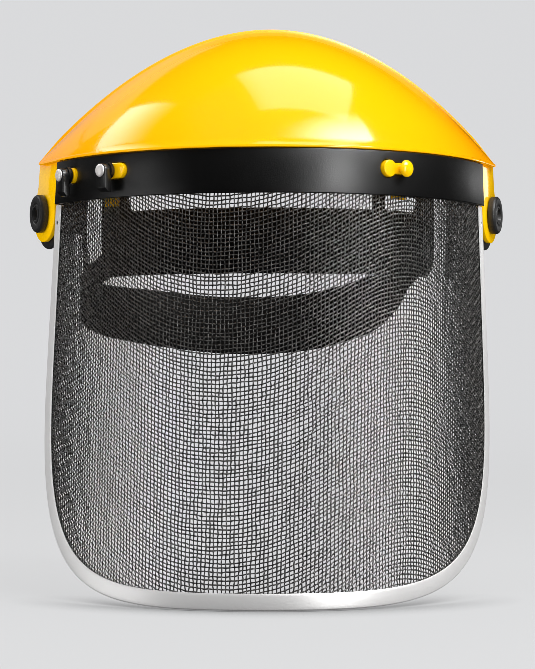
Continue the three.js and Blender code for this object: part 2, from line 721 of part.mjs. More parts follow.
const visor = new THREE.Group();
visor.add(piece("brow_guard", browGuard(), YELLOW));
visor.add(piece("visor_band", visorBand(), BLACK));
visor.add(piece("mesh_screen", meshScreen(), WIRE));
visor.add(piece("edge_trim", edgeTrim(), ALUMINIUM));
visor.add(piece("pivot_disc_right", pivotDisc(), BLACK));
visor.add(piece("pivot_disc_left", mirrored(pivotDisc()), BLACK));
visor.add(piece("pivot_knob_right", pivotKnob(), BLACK));
visor.add(piece("pivot_knob_left", mirrored(pivotKnob()), BLACK));
visor.add(piece("latch_front", latch(LATCH_FRONT_S), BLACK));
visor.add(piece("latch_rear", latch(LATCH_REAR_S), BLACK));
visor.add(piece("latch_front_rivet", rivet(LATCH_FRONT_S), RIVET_STEEL));
visor.add(piece("latch_rear_rivet", rivet(LATCH_REAR_S), RIVET_STEEL));
shield.add(visor);

const headRing = new THREE.Group();
headRing.add(piece("forehead_band", foreheadBand(), BLACK));
headRing.add(piece("nape_strap", napeStrap(), BLACK));
headRing.add(piece("side_bracket_right", sideBracket(), BLACK));
headRing.add(piece("side_bracket_left", mirrored(sideBracket()), BLACK));
shield.add(headRing);

export default shield;
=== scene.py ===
import math

import bmesh
import bpy
import numpy as np
from mathutils import Matrix, Quaternion, Vector, noise


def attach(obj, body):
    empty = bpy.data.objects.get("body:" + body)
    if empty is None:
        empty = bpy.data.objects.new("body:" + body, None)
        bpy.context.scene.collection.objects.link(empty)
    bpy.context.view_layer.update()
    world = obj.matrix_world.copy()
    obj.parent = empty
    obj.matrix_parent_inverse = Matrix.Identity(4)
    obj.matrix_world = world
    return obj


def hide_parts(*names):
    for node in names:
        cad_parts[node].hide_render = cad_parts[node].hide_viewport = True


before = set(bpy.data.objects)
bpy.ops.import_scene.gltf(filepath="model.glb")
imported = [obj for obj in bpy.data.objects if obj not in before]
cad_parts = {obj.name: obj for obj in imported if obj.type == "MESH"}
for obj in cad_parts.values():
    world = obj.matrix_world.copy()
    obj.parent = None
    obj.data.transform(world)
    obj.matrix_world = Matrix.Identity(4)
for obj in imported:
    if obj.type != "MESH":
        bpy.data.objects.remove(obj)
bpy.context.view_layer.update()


# ---------------------------------------- camera and studio
# The shield stands on a pale sweep of paper among soft boxes. It is seen from a little to its left, at the
# height of the screen's middle.

VIEW_PLACE = (-0.0686, -1.2740, -0.0610)
VIEW_TURN = math.radians(3.1)
VIEW_LENS = 133.05
VIEW_SHIFT = 0.0501


def added(name, data):
    """A new object in the scene."""
    made = bpy.data.objects.new(name, data)
    bpy.context.scene.collection.objects.link(made)
    return made


camera = added("camera", bpy.data.cameras.new("camera"))
camera.location = VIEW_PLACE
camera.rotation_euler = (math.radians(90), 0, -VIEW_TURN)
camera.data.lens = VIEW_LENS
camera.data.shift_y = VIEW_SHIFT
bpy.context.scene.camera = camera
bpy.context.scene.view_settings.view_transform = "Standard"
bpy.context.scene.cycles.filter_width = 0.6


class Value:
    """A shader socket that takes part in Python's sums."""

    def __init__(self, nodes, socket):
        self.nodes = nodes
        self.socket = socket

    def _math(self, operation, first, second):
        return self.nodes.node("ShaderNodeMath", {"operation": operation}, {0: first, 1: second})

    def __add__(self, other):
        return self._math("ADD", self, other)

    def __sub__(self, other):
        return self._math("SUBTRACT", self, other)

    def __rsub__(self, other):
        return self._math("SUBTRACT", other, self)

    def __mul__(self, other):
        return self._math("MULTIPLY", self, other)

    def __pow__(self, other):
        return self._math("POWER", self, other)

    __radd__ = __add__
    __rmul__ = __mul__


class Nodes:
    """A node tree, and the one way in which nodes are put into it."""

    def __init__(self, tree):
        self.tree = tree

    def node(self, kind, settings=None, sockets=None, out=0):
        """A new node with its settings, then its sockets, as one of its outputs."""
        made = self.tree.nodes.new(kind)
        for key, value in (settings or {}).items():
            setattr(made, key, value)
        for key, value in (sockets or {}).items():
            if isinstance(value, Value):
                self.tree.links.new(value.socket, made.inputs[key])
            else:
                made.inputs[key].default_value = value
        return Value(self, made.outputs[out])

    def ramp(self, value, low, high, kind="LINEAR"):
        """0 where the value is at low, and 1 where it is at high."""
        sockets = {"Value": value, "From Min": low, "From Max": high}
        return self.node("ShaderNodeMapRange", {"interpolation_type": kind}, sockets)


class Finish(Nodes):
    """A surface finish: a material whose shader's even values are set by name."""

    def __init__(self, name, **even):
        self.material = bpy.data.materials.new(name)
        self.material.use_nodes = True
        super().__init__(self.material.node_tree)
        self.shader = self.tree.nodes["Principled BSDF"]
        for socket, value in even.items():
            self.shader.inputs[socket.replace("_", " ")].default_value = value
        self.place = self.node("ShaderNodeTexCoord", out="Object")

    def varies(self, **sockets):
        """Links the shader's uneven values, by name."""
        for name, value in sockets.items():
            self.tree.links.new(value.socket, self.shader.inputs[name.replace("_", " ")])

    def along(self, axis):
        """How far a point lies along X, Y or Z, in metres."""
        return self.node("ShaderNodeSeparateXYZ", None, {"Vector": self.place}, out=axis)

    def noise(self, scale, detail):
        """Cloudy values about 0.5, with so many spots to the metre."""
        sockets = {"Vector": self.place, "Scale": scale, "Detail": detail}
        return self.node("ShaderNodeTexNoise", None, sockets)

    def blend(self, share, first, second):
        """A colour between two."""
        sockets = {"Factor": share, 6: first, 7: second}
        return self.node("ShaderNodeMix", {"data_type": "RGBA"}, sockets, out=2)

    def relief(self, height, depth):
        """The normal of a surface whose height varies, by a depth in metres."""
        return self.node("ShaderNodeBump", None, {"Height": height, "Strength": 1.0, "Distance": depth})


FLOOR_Z = -0.1747
SWEEP_FRONT = -3.0
SWEEP_BEND_Y = 2.2
SWEEP_BEND_R = 1.2
SWEEP_HALF = 4.0
SWEEP_HIGH = 4.0

# the paper glows a little, but a painted contact shadow dims its glow where it is shut in
paper_finish = Finish("paper", Roughness=0.9, Emission_Strength=0.65)
on_wall = paper_finish.ramp(paper_finish.along("Y"), 0.3, 3.0, "SMOOTHSTEP")
tone = on_wall + paper_finish.noise(3.0, 3.0) * 0.06
painted_contact_shade = paper_finish.node("ShaderNodeAmbientOcclusion", {"samples": 8}, {"Distance": 0.035}, out="AO")
lit_paper = paper_finish.blend(tone, (0.90, 0.904, 0.913, 1), (0.98, 0.985, 1.0, 1))
paper_finish.varies(
    Base_Color=paper_finish.blend(tone, (0.060, 0.061, 0.062, 1), (0.070, 0.071, 0.073, 1)),
    Emission_Color=paper_finish.blend(painted_contact_shade ** 1.5, (0.08, 0.081, 0.083, 1), lit_paper),
)
sweep_line = [(SWEEP_FRONT, 0.0), (SWEEP_BEND_Y, 0.0)]
sweep_line += [
    (SWEEP_BEND_Y + SWEEP_BEND_R * math.sin(a), SWEEP_BEND_R - SWEEP_BEND_R * math.cos(a))
    for a in np.linspace(0.1, math.pi / 2, 14)
]
sweep_line += [(SWEEP_BEND_Y + SWEEP_BEND_R, SWEEP_HIGH)]
sweep = bpy.data.meshes.new("paper_sweep")
sweep.from_pydata(
    [(x, y, FLOOR_Z + z) for y, z in sweep_line for x in (-SWEEP_HALF, SWEEP_HALF)],
    [],
    [(2 * i, 2 * i + 1, 2 * i + 3, 2 * i + 2) for i in range(len(sweep_line) - 1)],
)
sweep.materials.append(paper_finish.material)
sweep.shade_smooth()
paper = added("paper_sweep", sweep)
paper.visible_glossy = False

world = bpy.data.worlds.new("studio")
world.use_nodes = True
world.node_tree.nodes["Background"].inputs["Color"].default_value = (0.98, 0.985, 1.0, 1)
world.node_tree.nodes["Background"].inputs["Strength"].default_value = 0.52
world.cycles_visibility.glossy = False
bpy.context.scene.world = world

BROW = Vector((0, -0.1, 0.05))


def softbox(name, turn, rise, away, wide, high, radiance, fades=(), roll=0, seen=True, lit=True):
    """A light that faces the brow, from a direction in degrees. Each fade is an axis (0 across, 1 up) and the
    shares of it where the light is dark and full. A light that isn't seen stays out of reflections, and one
    that isn't lit leaves matt surfaces as they are."""
    turn, rise = math.radians(turn), math.radians(rise)
    ahead = Vector((math.cos(rise) * math.sin(turn), -math.cos(rise) * math.cos(turn), math.sin(rise)))
    lamp = bpy.data.lights.new("softbox_" + name, "AREA")
    lamp.shape = "RECTANGLE"
    lamp.size = wide
    lamp.size_y = high
    lamp.energy = radiance * math.pi * wide * high
    if fades:
        lamp.use_nodes = True
        nodes = Nodes(lamp.node_tree)
        glow = 1.0
        for axis, dark, full in fades:
            place = nodes.node("ShaderNodeNewGeometry", out="Parametric")
            share = nodes.node("ShaderNodeSeparateXYZ", None, {"Vector": place}, out=axis)
            glow = glow * nodes.ramp(share, dark, full, "SMOOTHSTEP")
        nodes.tree.links.new(glow.socket, nodes.tree.nodes["Emission"].inputs["Strength"])
    box = added(lamp.name, lamp)
    box.location = BROW + ahead * away
    facing = (-ahead).to_track_quat("-Z", "Y") @ Quaternion((0, 0, 1), math.radians(roll))
    box.rotation_euler = facing.to_euler()
    box.visible_glossy = seen
    box.visible_diffuse = lit


# these draw the highlights in the gloss
for row in (
    ("key", 42, 46, 1.6, 1.5, 1.0, 15, [(0, 0.0, 0.7), (1, 1.1, 0.45)]),
    ("low", 40, 3, 1.6, 0.62, 0.6, 7, [(0, 0.0, 0.4), (0, 1.0, 0.6)]),
    ("top", 100, 79, 1.5, 0.93, 1.12, 2.5, [(1, 1.15, 0.8)]),
    ("left", -116, 39, 1.6, 0.72, 0.62, 3.6, [(0, 1.1, 0.2)], 38),
    ("side", -82, 4, 1.6, 0.5, 0.3, 1.0),
    ("back", -153, 31, 1.9, 1.1, 0.4, 0.3),
    ("behind", -165, 14, 2.2, 2.4, 0.9, 0.3),
    ("rim", 139, 4, 1.8, 0.3, 0.2, 2.0),
    ("edge_left", -85, -16, 1.2, 0.8, 0.3, 1.1),
    ("edge_right", 36, -16, 1.2, 0.5, 0.3, 2.2),
):
    softbox(*row, lit=False)
# these light the matt surfaces from above and fill in at the sides
for row in (
    ("over_right", 38, 46, 1.6, 1.15, 1.0, 5.6),
    ("over", -5, 72, 1.8, 2.4, 1.6, 2.3),
    ("fill_left", -95, 1, 1.8, 1.6, 0.4, 8.5),
    ("fill_right", 82, 1, 1.8, 1.6, 0.4, 7.5),
):
    softbox(*row, seen=False)


# ----------------------------------------------- brow guard
# One glossy yellow moulding: a dome with a rolled rear flange and a lip over the band, a rim wall behind the
# band with pads that fill its holes and two short tabs below it, the mushroom pin for the band's keyhole, and
# an arm at each side that widens into a lobe.

MM = 0.001  # sizes are in millimetres, and the pieces are made in metres
GAP = 0.3  # between pieces that touch
FRONT_Y = -126
FRONT_RADIUS = 91  # of the plan curve at the front; it grows towards the sides
SIDE_TURN = 1.5  # the turn, in radians, that the curve tends to
BAND_HALF = 149
END_SLANT = 1.6  # each end of the band reaches so much further at its bottom, and less at its top
BAND_BOTTOM = 20.7
BAND_TOP = 41.7
CATCH_Z = 33.4
PIVOT_Z = 17.3
PIVOT_S = 173.5
WALL_OFF = -3.7  # outwards from the band's outer face, as every OFF is
WALL_THICK = 2.3
ARM_OFF = -1.7
ARM_THICK = 2.5


def plan(s, bow=1.0):
    """The visor's plan curve at s from the middle of the front: x, y and the direction it has turned to."""
    s, bow = np.broadcast_arrays(np.asarray(s, float), np.asarray(bow, float))
    reach = np.minimum(np.abs(s), BAND_HALF)
    steps = (np.arange(60) + 0.5) / 60
    turns = bow[..., None] * SIDE_TURN * np.tanh(reach[..., None] * steps / (FRONT_RADIUS * SIDE_TURN))
    turn = bow * SIDE_TURN * np.tanh(reach / (FRONT_RADIUS * SIDE_TURN))
    past = np.abs(s) - reach
    x = np.cos(turns).mean(-1) * reach + np.cos(turn) * past
    y = np.sin(turns).mean(-1) * reach + np.sin(turn) * past
    side = np.where(s < 0, -1.0, 1.0)
    return side * x, FRONT_Y + y, side * turn


def on_visor(s, off, z, bow=1.0):
    """Points at s along the plan curve, off outwards from the band's face, at height z."""
    x, y, turn = plan(s, bow)
    x, y, z = np.broadcast_arrays(x + np.sin(turn) * off, y - np.cos(turn) * off, np.asarray(z, float))
    return np.stack([x, y, z], -1)


def visor_frame(s, z):
    """A frame with X along the plan curve, Y up and Z outwards, as a matrix in millimetres."""
    x, y, turn = (float(v) for v in plan(s))
    along, out = (math.cos(turn), math.sin(turn), 0), (math.sin(turn), -math.cos(turn), 0)
    columns = [along, (0, 0, 1), out, (x, y, z)]
    made = Matrix.Identity(4)
    for i, column in enumerate(columns):
        made.col[i] = (*column, 1.0 if i == 3 else 0.0)
    return made


def smooth_step(low, high, value):
    """A share that eases from 0 at low to 1 at high."""
    share = min(1, max(0, (value - low) / (high - low)))
    return share * share * (3 - 2 * share)


def mesh_of(vertices, faces, matrix=None):
    """A bmesh of points in millimetres, turned outwards."""
    made = bmesh.new()
    points = [made.verts.new(v) for v in vertices]
    for face in faces:
        made.faces.new([points[i] for i in face])
    bmesh.ops.remove_doubles(made, verts=made.verts, dist=1e-4)
    bmesh.ops.recalc_face_normals(made, faces=made.faces)
    if matrix is not None:
        bmesh.ops.transform(made, matrix=matrix, verts=made.verts)
    return made


def sweep_of(rings, matrix=None):
    """A closed body through rings of the same number of points."""
    rings = np.asarray(rings, float)
    count, sides = rings.shape[:2]
    faces = []
    for i in range(count - 1):
        for j in range(sides):
            k = (j + 1) % sides
            faces.append((i * sides + j, i * sides + k, (i + 1) * sides + k, (i + 1) * sides + j))
    faces.append(tuple(range(sides)))
    faces.append(tuple((count - 1) * sides + j for j in range(sides)))
    return mesh_of(rings.reshape(-1, 3).tolist(), faces, matrix)


def turned_of(profile, sides, matrix=None):
    """A turned body about +Z, from a closed profile of (radius, height)."""
    angles = np.linspace(0, 2 * math.pi, sides, endpoint=False)
    points = np.array(profile, float)
    rings = [[(r * math.cos(a), r * math.sin(a), h) for r, h in points] for a in angles]
    count = len(points)
    on_axis = points[:, 0] < 1e-9
    faces = []
    for i in range(sides):
        k = (i + 1) % sides
        for j in range(count):
            m = (j + 1) % count
            if on_axis[j] and on_axis[m]:
                continue
            corners = [i * count + j, i * count + m, k * count + m, k * count + j]
            if on_axis[j]:
                corners.remove(k * count + j)
            if on_axis[m]:
                corners.remove(k * count + m)
            faces.append(corners)
    return mesh_of([v for ring in rings for v in ring], faces, matrix)


def smooth(mesh, sharp):
    """Smooth shading that keeps the edges over an angle in degrees."""
    mesh.shade_smooth()
    mesh.set_sharp_from_angle(angle=math.radians(sharp))


def piece(name, parts, finish, sharp=32):
    """One object, in metres, of bmeshes in millimetres."""
    mesh = bpy.data.meshes.new(name)
    whole = bmesh.new()
    for part in parts:
        held = bpy.data.meshes.new("part")
        part.to_mesh(held)
        whole.from_mesh(held)
        bpy.data.meshes.remove(held)
        part.free()
    whole.to_mesh(mesh)
    whole.free()
    mesh.transform(Matrix.Scale(MM, 4))
    mesh.materials.append(finish.material)
    smooth(mesh, sharp)
    return added(name, mesh)


def fit(made, body, node):
    """A piece takes its place: on a body, for the node it stands for, whose own part is hidden."""
    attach(made, body)
    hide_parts(node)


TIP_HALF = 172.7
LIP_OUT = 0.8  # how far the lip stands proud of the band
LIP_BOTTOM = BAND_TOP + GAP
LIP_TOP = LIP_BOTTOM + 1.2
REAR_BASE = 43.7
REAR_RISE = 62.1
REAR_LEAN = 38  # how far the top of the rear edge lies in front of the tips
REAR_POWER = 1.96  # 2 is a parabola
GUARD_THICK = 2.2
PROFILE_FROM = 0.35  # the part of an ellipse that the dome's profile follows, in radians
PROFILE_TO = 1.31
WALL_BOTTOM = 23
RIB_BOTTOM = 35.5
FLANGE_UP = 1.1
FLANGE_TIP_UP = 0.4
FLANGE_BACK = 3

TIP_X, TIP_Y, _ = (float(v) for v in plan(TIP_HALF))
BACK = np.array([0.0, 1.0, 0.0])


def rear_edge(s):
    """A point of the dome's rear edge, and the direction that faces out of the arch there."""
    share = float(plan(s)[0]) / TIP_X
    rise = 1 - abs(share) ** REAR_POWER
    slope = REAR_RISE * REAR_POWER * abs(share) ** (REAR_POWER - 1) / TIP_X
    point = np.array([share * TIP_X, TIP_Y + 2 - REAR_LEAN * rise, REAR_BASE + REAR_RISE * rise])
    out = np.array([math.copysign(slope, share), 0, 1])
    return point, out / np.linalg.norm(out)


def dome_profile(front, rear, shares):
    """Points of an elliptic profile from the front edge to the rear edge."""
    angles = PROFILE_FROM + (PROFILE_TO - PROFILE_FROM) * np.asarray(shares)
    back = (math.cos(PROFILE_FROM) - np.cos(angles)) / (math.cos(PROFILE_FROM) - math.cos(PROFILE_TO))
    up = (np.sin(angles) - math.sin(PROFILE_FROM)) / (math.sin(PROFILE_TO) - math.sin(PROFILE_FROM))
    steps = np.stack([back, back, up], -1)
    return list(np.asarray(front) + (np.asarray(rear) - np.asarray(front)) * steps)


def guard_ring(s):
    """The guard's closed section at s: lip, dome, flange, the dome's inside, and the rim wall."""
    rear, out = rear_edge(s)
    lift = FLANGE_UP + (FLANGE_TIP_UP - FLANGE_UP) * smooth_step(0.8, 1, abs(s) / TIP_HALF)
    past_band = smooth_step(BAND_HALF + 0.5, BAND_HALF + 3.5, abs(s))
    wall_bottom = WALL_BOTTOM + (RIB_BOTTOM - WALL_BOTTOM) * past_band
    wall_inner = WALL_OFF - WALL_THICK
    dome = dome_profile(on_visor(s, LIP_OUT - 0.5, LIP_TOP + 0.3), rear, np.linspace(0, 1, 26))
    inner = dome_profile(on_visor(s, wall_inner, LIP_TOP), rear - out * GUARD_THICK, np.linspace(0, 1, 12))
    return [
        on_visor(s, LIP_OUT - 0.25, LIP_BOTTOM),
        on_visor(s, LIP_OUT, LIP_BOTTOM + 0.25),
        on_visor(s, LIP_OUT, LIP_TOP - 0.3),
        on_visor(s, LIP_OUT - 0.12, LIP_TOP),
        *dome,
        rear + out * (lift * 0.55) + BACK * 0.15,
        rear + out * (lift * 0.9) + BACK * 0.4,
        rear + out * lift + BACK * 0.8,
        rear + out * lift + BACK * (FLANGE_BACK - 0.4),
        rear + out * (lift - 0.3) + BACK * FLANGE_BACK,
        rear - out * (GUARD_THICK * 0.8 - 0.3) + BACK * (FLANGE_BACK + 0.4),
        rear - out * (GUARD_THICK * 0.8) + BACK * (FLANGE_BACK + 0.1),
        *inner[::-1],
        on_visor(s, wall_inner, wall_bottom + 0.3),
        on_visor(s, wall_inner + 0.3, wall_bottom),
        on_visor(s, WALL_OFF - 0.3, wall_bottom),
        on_visor(s, WALL_OFF, wall_bottom + 0.3),
        on_visor(s, WALL_OFF, LIP_BOTTOM),
    ]


def units(vectors):
    """Each row, made one long."""
    return vectors / np.linalg.norm(vectors, axis=1)[:, None]


def plate_of(outline, low, high, bevel, matrix):
    """A flat outline with rounded edges, from low to high along its own +Z."""
    outline = np.asarray(outline, float)
    ahead = units(np.roll(outline, -1, 0) - outline)
    behind = units(outline - np.roll(outline, 1, 0))
    inwards = units(np.stack([-(ahead + behind)[:, 1], (ahead + behind)[:, 0]], -1))
    # at a corner the inner outline lies further in, up to twice as far
    square_on = np.abs((inwards * np.stack([-ahead[:, 1], ahead[:, 0]], -1)).sum(1))
    inwards /= np.maximum(0.5, square_on)[:, None]
    rings = []
    for a in np.linspace(0, math.pi / 2, 4):
        ring = outline + inwards * bevel * (1 - math.sin(a))
        rings.append([(x, y, low + bevel * (1 - math.cos(a))) for x, y in ring])
    for ring in rings[::-1]:
        rings.append([(x, y, high + low - z) for x, y, z in ring])
    return sweep_of(rings, matrix)


def arc_points(across, up, wide, high, start, end, count):
    """Points of an ellipse about (across, up), from one angle to another."""
    return [(across + wide * math.cos(a), up + high * math.sin(a)) for a in np.linspace(start, end, count)]


ARM_FROM = 1.2  # past the end of the band
ARM_TO = 30
LOBE_R = 14.3
LOBE_FRONT_R = 17.4
LOBE_ACROSS = PIVOT_S - BAND_HALF
PIN_S = 62.3
SLOT_R = 4
SLOT_FRONT_RUN = 6.3
SLOT_REAR_RUN = 0.6
KEYHOLE_R = 4.35
KEYHOLE_NECK = 2.95  # half of the neck's height
KEYHOLE_RUN = 7.7
LATCH_FRONT_S = -91.2
LATCH_REAR_S = -127
PAD_OUT = 1.45
PAD_ROOT = WALL_OFF - 1.2
STEM_R = 2.3
HEAD_R = 4.05
HEAD_OFF = 4.1
HEAD_DOME = 2.1
MIRROR = Matrix.Scale(-1, 4, (1, 0, 0))

arm_outline = [
    (ARM_FROM - END_SLANT, LIP_TOP),
    (ARM_FROM + END_SLANT, BAND_BOTTOM + 3.3),
    (LOBE_ACROSS - LOBE_FRONT_R, BAND_BOTTOM + 1.5),
    *arc_points(LOBE_ACROSS, PIVOT_Z, LOBE_FRONT_R, LOBE_R, math.pi, math.pi * 1.5, 22),
    *arc_points(LOBE_ACROSS, PIVOT_Z, LOBE_R, LOBE_R, math.pi * 1.5, math.pi * 2, 20)[1:],
    (ARM_TO + 1.5, PIVOT_Z + 14),
    (ARM_TO - 1, LIP_TOP),
]


def arm(mirror):
    """The right arm, or the left one as its mirror image."""
    made = plate_of(arm_outline, ARM_OFF - ARM_THICK, ARM_OFF, 0.5, visor_frame(BAND_HALF, 0))
    if mirror:
        bmesh.ops.transform(made, matrix=MIRROR, verts=made.verts)
        bmesh.ops.reverse_faces(made, faces=made.faces)
    return made


pin_profile = [
    (0, PAD_ROOT),
    (STEM_R, PAD_ROOT),
    (STEM_R, PAD_OUT + 0.6),
    (STEM_R + 0.1, PAD_OUT + 1.0),
    (STEM_R + 0.5, HEAD_OFF - 0.8),
    (HEAD_R - 0.7, HEAD_OFF - 0.6),
    (HEAD_R - 0.2, HEAD_OFF - 0.3),
    *arc_points(0, HEAD_OFF, HEAD_R, HEAD_DOME, 0, math.pi / 2, 14),
]


def stadium(radius, run):
    """The outline of a slot with round ends."""
    right = arc_points(run, 0, radius, radius, -math.pi / 2, math.pi / 2, 20)
    left = arc_points(0, 0, radius, radius, math.pi / 2, math.pi * 1.5, 20)
    return right + left


def keyhole_outline(inset=0.0):
    """The outline of a round entry with a narrower neck, smaller all round by the inset."""
    half, radius = KEYHOLE_NECK - inset, KEYHOLE_R - inset
    lead = math.asin(half / radius)
    entry = arc_points(-KEYHOLE_RUN, 0, radius, radius, lead, 2 * math.pi - lead, 36)
    return arc_points(0, 0, half, half, -math.pi / 2, math.pi / 2, 14) + entry


def pad(outline, s):
    """A pad of the rim wall that fills one of the band's holes, with a rounded edge."""
    return plate_of(outline, PAD_ROOT, PAD_OUT, 0.6, visor_frame(s, CATCH_Z))


def tab(s, half_wide, drop):
    """A short tab of the rim wall that shows below the band."""
    corners = [(-half_wide, WALL_BOTTOM - drop), (half_wide, WALL_BOTTOM - drop)]
    corners += [(half_wide, WALL_BOTTOM + 2), (-half_wide, WALL_BOTTOM + 2)]
    return plate_of(corners, WALL_OFF - WALL_THICK + 0.2, WALL_OFF - 0.3, 0.3, visor_frame(s, 0))


# painted shade on one plastic: the dome is painted a deeper yellow than the arms, and deeper still towards
# its sides, over a random mottle of its own; its rear edge is duller
guard_yellow = Finish("guard_yellow", Specular_IOR_Level=0.5, Coat_Weight=0.3, Coat_Roughness=0.03)
across, up = guard_yellow.along("X"), guard_yellow.along("Z")
sideways = guard_yellow.node("ShaderNodeMath", {"operation": "ABSOLUTE"}, {0: across}) * 8.0
mottle = guard_yellow.noise(55.0, 4.0) * 0.12
dome_mottle_and_side_shade = guard_yellow.blend(sideways ** 1.6 + mottle, (1.0, 0.465, 0.001, 1), (1.0, 0.36, 0.001, 1))
above_band = guard_yellow.ramp(up, 0.039, 0.043)
far_back = guard_yellow.ramp(guard_yellow.along("Y"), -0.067, -0.060)
high_up = guard_yellow.ramp(up, 0.056, 0.076)
guard_yellow.varies(
    Base_Color=guard_yellow.blend(above_band, (1.0, 0.56, 0.001, 1), dome_mottle_and_side_shade),
    Roughness=0.07 + guard_yellow.noise(180.0, 5.0) * 0.06 + far_back * high_up * 0.3,
    Normal=guard_yellow.relief(guard_yellow.noise(900.0, 2.0), 0.00002),
)

guard = piece(
    "brow_guard_moulding",
    [
        sweep_of([guard_ring(s) for s in np.linspace(-TIP_HALF, TIP_HALF, 171)]),
        arm(False),
        arm(True),
        turned_of(pin_profile, 48, visor_frame(PIN_S, CATCH_Z)),
        pad(keyhole_outline(GAP), PIN_S),
        pad(stadium(SLOT_R - GAP, SLOT_FRONT_RUN), LATCH_FRONT_S),
        pad(stadium(SLOT_R - GAP, SLOT_REAR_RUN), LATCH_REAR_S),
        tab(LATCH_FRONT_S - 6.5, 5.3, 6.2),
        tab(PIN_S + 3, 4.5, 3.7),
    ],
    guard_yellow,
)
fit(guard, "visor", "brow_guard")


# ----------------------------------------------- visor band
# A flexible black strip round the brow, moulded with a fine grain. Its two slots on the left and its keyhole
# on the right fit over the guard's pads, where the latches and the pin's head hold it.

BAND_THICK = 2.2


def rounded_bar(off_low, off_high, z_low, z_high, round_off):
    """A closed outline with rounded corners, as (off, z)."""
    corners = [
        (off_low + round_off, z_low + round_off, math.pi),
        (off_high - round_off, z_low + round_off, math.pi * 1.5),
        (off_high - round_off, z_high - round_off, 0.0),
        (off_low + round_off, z_high - round_off, math.pi * 0.5),
    ]
    return [
        (off + round_off * math.cos(start + a), z + round_off * math.sin(start + a))
        for off, z, start in corners
        for a in np.linspace(0, math.pi / 2, 4)
    ]


def take_shape(made):
    """The piece's modifiers, applied to its mesh."""
    bpy.context.view_layer.update()
    shaped = bpy.data.meshes.new_from_object(made.evaluated_get(bpy.context.evaluated_depsgraph_get()))
    made.modifiers.clear()
    made.data = shaped


def shape_with(made, tool, operation):
    """The piece with a boolean by one bmesh in millimetres."""
    mesh = bpy.data.meshes.new("tool")
    tool.to_mesh(mesh)
    tool.free()
    mesh.transform(Matrix.Scale(MM, 4))
    other = added("tool", mesh)
    modifier = made.modifiers.new("shape", "BOOLEAN")
    modifier.operation = operation
    modifier.solver = "EXACT"
    modifier.object = other
    take_shape(made)
    bpy.data.objects.remove(other)


def cut(made, *tools):
    """The piece less the tools."""
    for tool in tools:
        shape_with(made, tool, "DIFFERENCE")


def mouth_of(outline, at):
    """A hole's cutter at a place of the flat band, through it, and wider at the outer face."""
    outline = np.asarray(outline, float)
    reach = units(outline - outline.mean(0))
    levels = [(-BAND_THICK - 1, 0), (-0.45, 0), (-0.2, 0.07), (0.05, 0.32), (1.0, 1.2)]
    rings = [[(at + x, off, CATCH_Z + z) for x, z in outline + reach * wider] for off, wider in levels]
    return sweep_of(rings)


band_black = Finish("band_black", Specular_IOR_Level=1.0, Coat_Weight=0.25, Coat_Roughness=0.35)
cloudy = band_black.noise(40.0, 4.0)
band_black.varies(
    Base_Color=band_black.blend(cloudy, (0.0012, 0.0012, 0.0012, 1), (0.0028, 0.0028, 0.0028, 1)),
    Roughness=0.30 + band_black.noise(90.0, 5.0) * 0.10,
    Normal=band_black.relief(band_black.noise(1400.0, 2.0), 0.00006),
)

# the strip is made flat, cut, and then bent round the brow
section = rounded_bar(-BAND_THICK, 0, BAND_BOTTOM, BAND_TOP, 0.45)
band_rings = [[(s, off, z) for off, z in section] for s in np.linspace(-BAND_HALF, BAND_HALF, 221)]
band = piece("visor_band_strip", [sweep_of(band_rings)], band_black)
cut(
    band,
    mouth_of(stadium(SLOT_R, SLOT_FRONT_RUN), LATCH_FRONT_S),
    mouth_of(stadium(SLOT_R, SLOT_REAR_RUN), LATCH_REAR_S),
    mouth_of(keyhole_outline(), PIN_S),
)
flat = np.empty(len(band.data.vertices) * 3)
band.data.vertices.foreach_get("co", flat)
flat = flat.reshape(-1, 3) / MM
band_middle = (BAND_BOTTOM + BAND_TOP) / 2
longer = 1 + END_SLANT / BAND_HALF * (band_middle - flat[:, 2]) / (band_middle - BAND_BOTTOM)
bent = on_visor(flat[:, 0] * longer, flat[:, 1], flat[:, 2]) * MM
band.data.vertices.foreach_set("co", bent.ravel())
band.data.update()
smooth(band.data, 32)
fit(band, "visor", "visor_band")


# --------------------------------------------- woven screen
# A plain weave of wire with a worn black coat, held in the trim and behind the band. The upright wires stay
# upright. The cross wires run in an S: they fall from the left, climb through the middle and fall again to
# the right.

SCREEN_SPREAD = 0.104  # how much less the screen bends at its bottom than at the band
SCREEN_LEAN = -2.1  # how far the screen's bottom hangs to one side
SCREEN_OFF = -2.9
SCREEN_TOP = 29
TRIM_BOTTOM = -174.2
TRIM_HALF = 154.6
CORNER_LEFT = (125, 130)  # across and up
CORNER_RIGHT = (143, 127.5)
CORNER_POWER = 3.3  # 2 is an elliptic corner, more is squarer
TRIM_FOLD = 0.7
CROSS_PITCH = 2.0
WIRE_DEEP = 0.33  # the wires' radius through the sheet
WEAVE_LIFT = 0.3
DRIFT = 0.7  # how far near crossings wander together up or down
SHIFT = 0.5  # and sideways
JITTER = 0.11  # how far each crossing strays by itself
SHORTEST = 3  # a wire with fewer crossings is left out
# the wires' radius across the sheet, and the spacing of the upright wires, at places along it
WIRE_RADII = [(-155, 0.35), (-60, 0.34), (0, 0.32), (25, 0.345), (60, 0.375), (155, 0.375)]
SPACINGS = [(-155, 1.95), (-70, 2.0), (0, 2.07), (25, 1.99), (55, 1.80), (100, 1.80), (155, 1.86)]
# how steeply a cross wire climbs at places along the sheet
CLIMBS = [(-155, -0.70), (-92, -0.62), (-72, -0.51), (-54, -0.28), (-38, -0.09), (-23, 0.07), (-9, 0.21)]
CLIMBS += [(6, 0.36), (20, 0.49), (36, 0.52), (53, 0.37), (69, 0.02), (90, -0.42), (120, -0.6), (155, -0.65)]


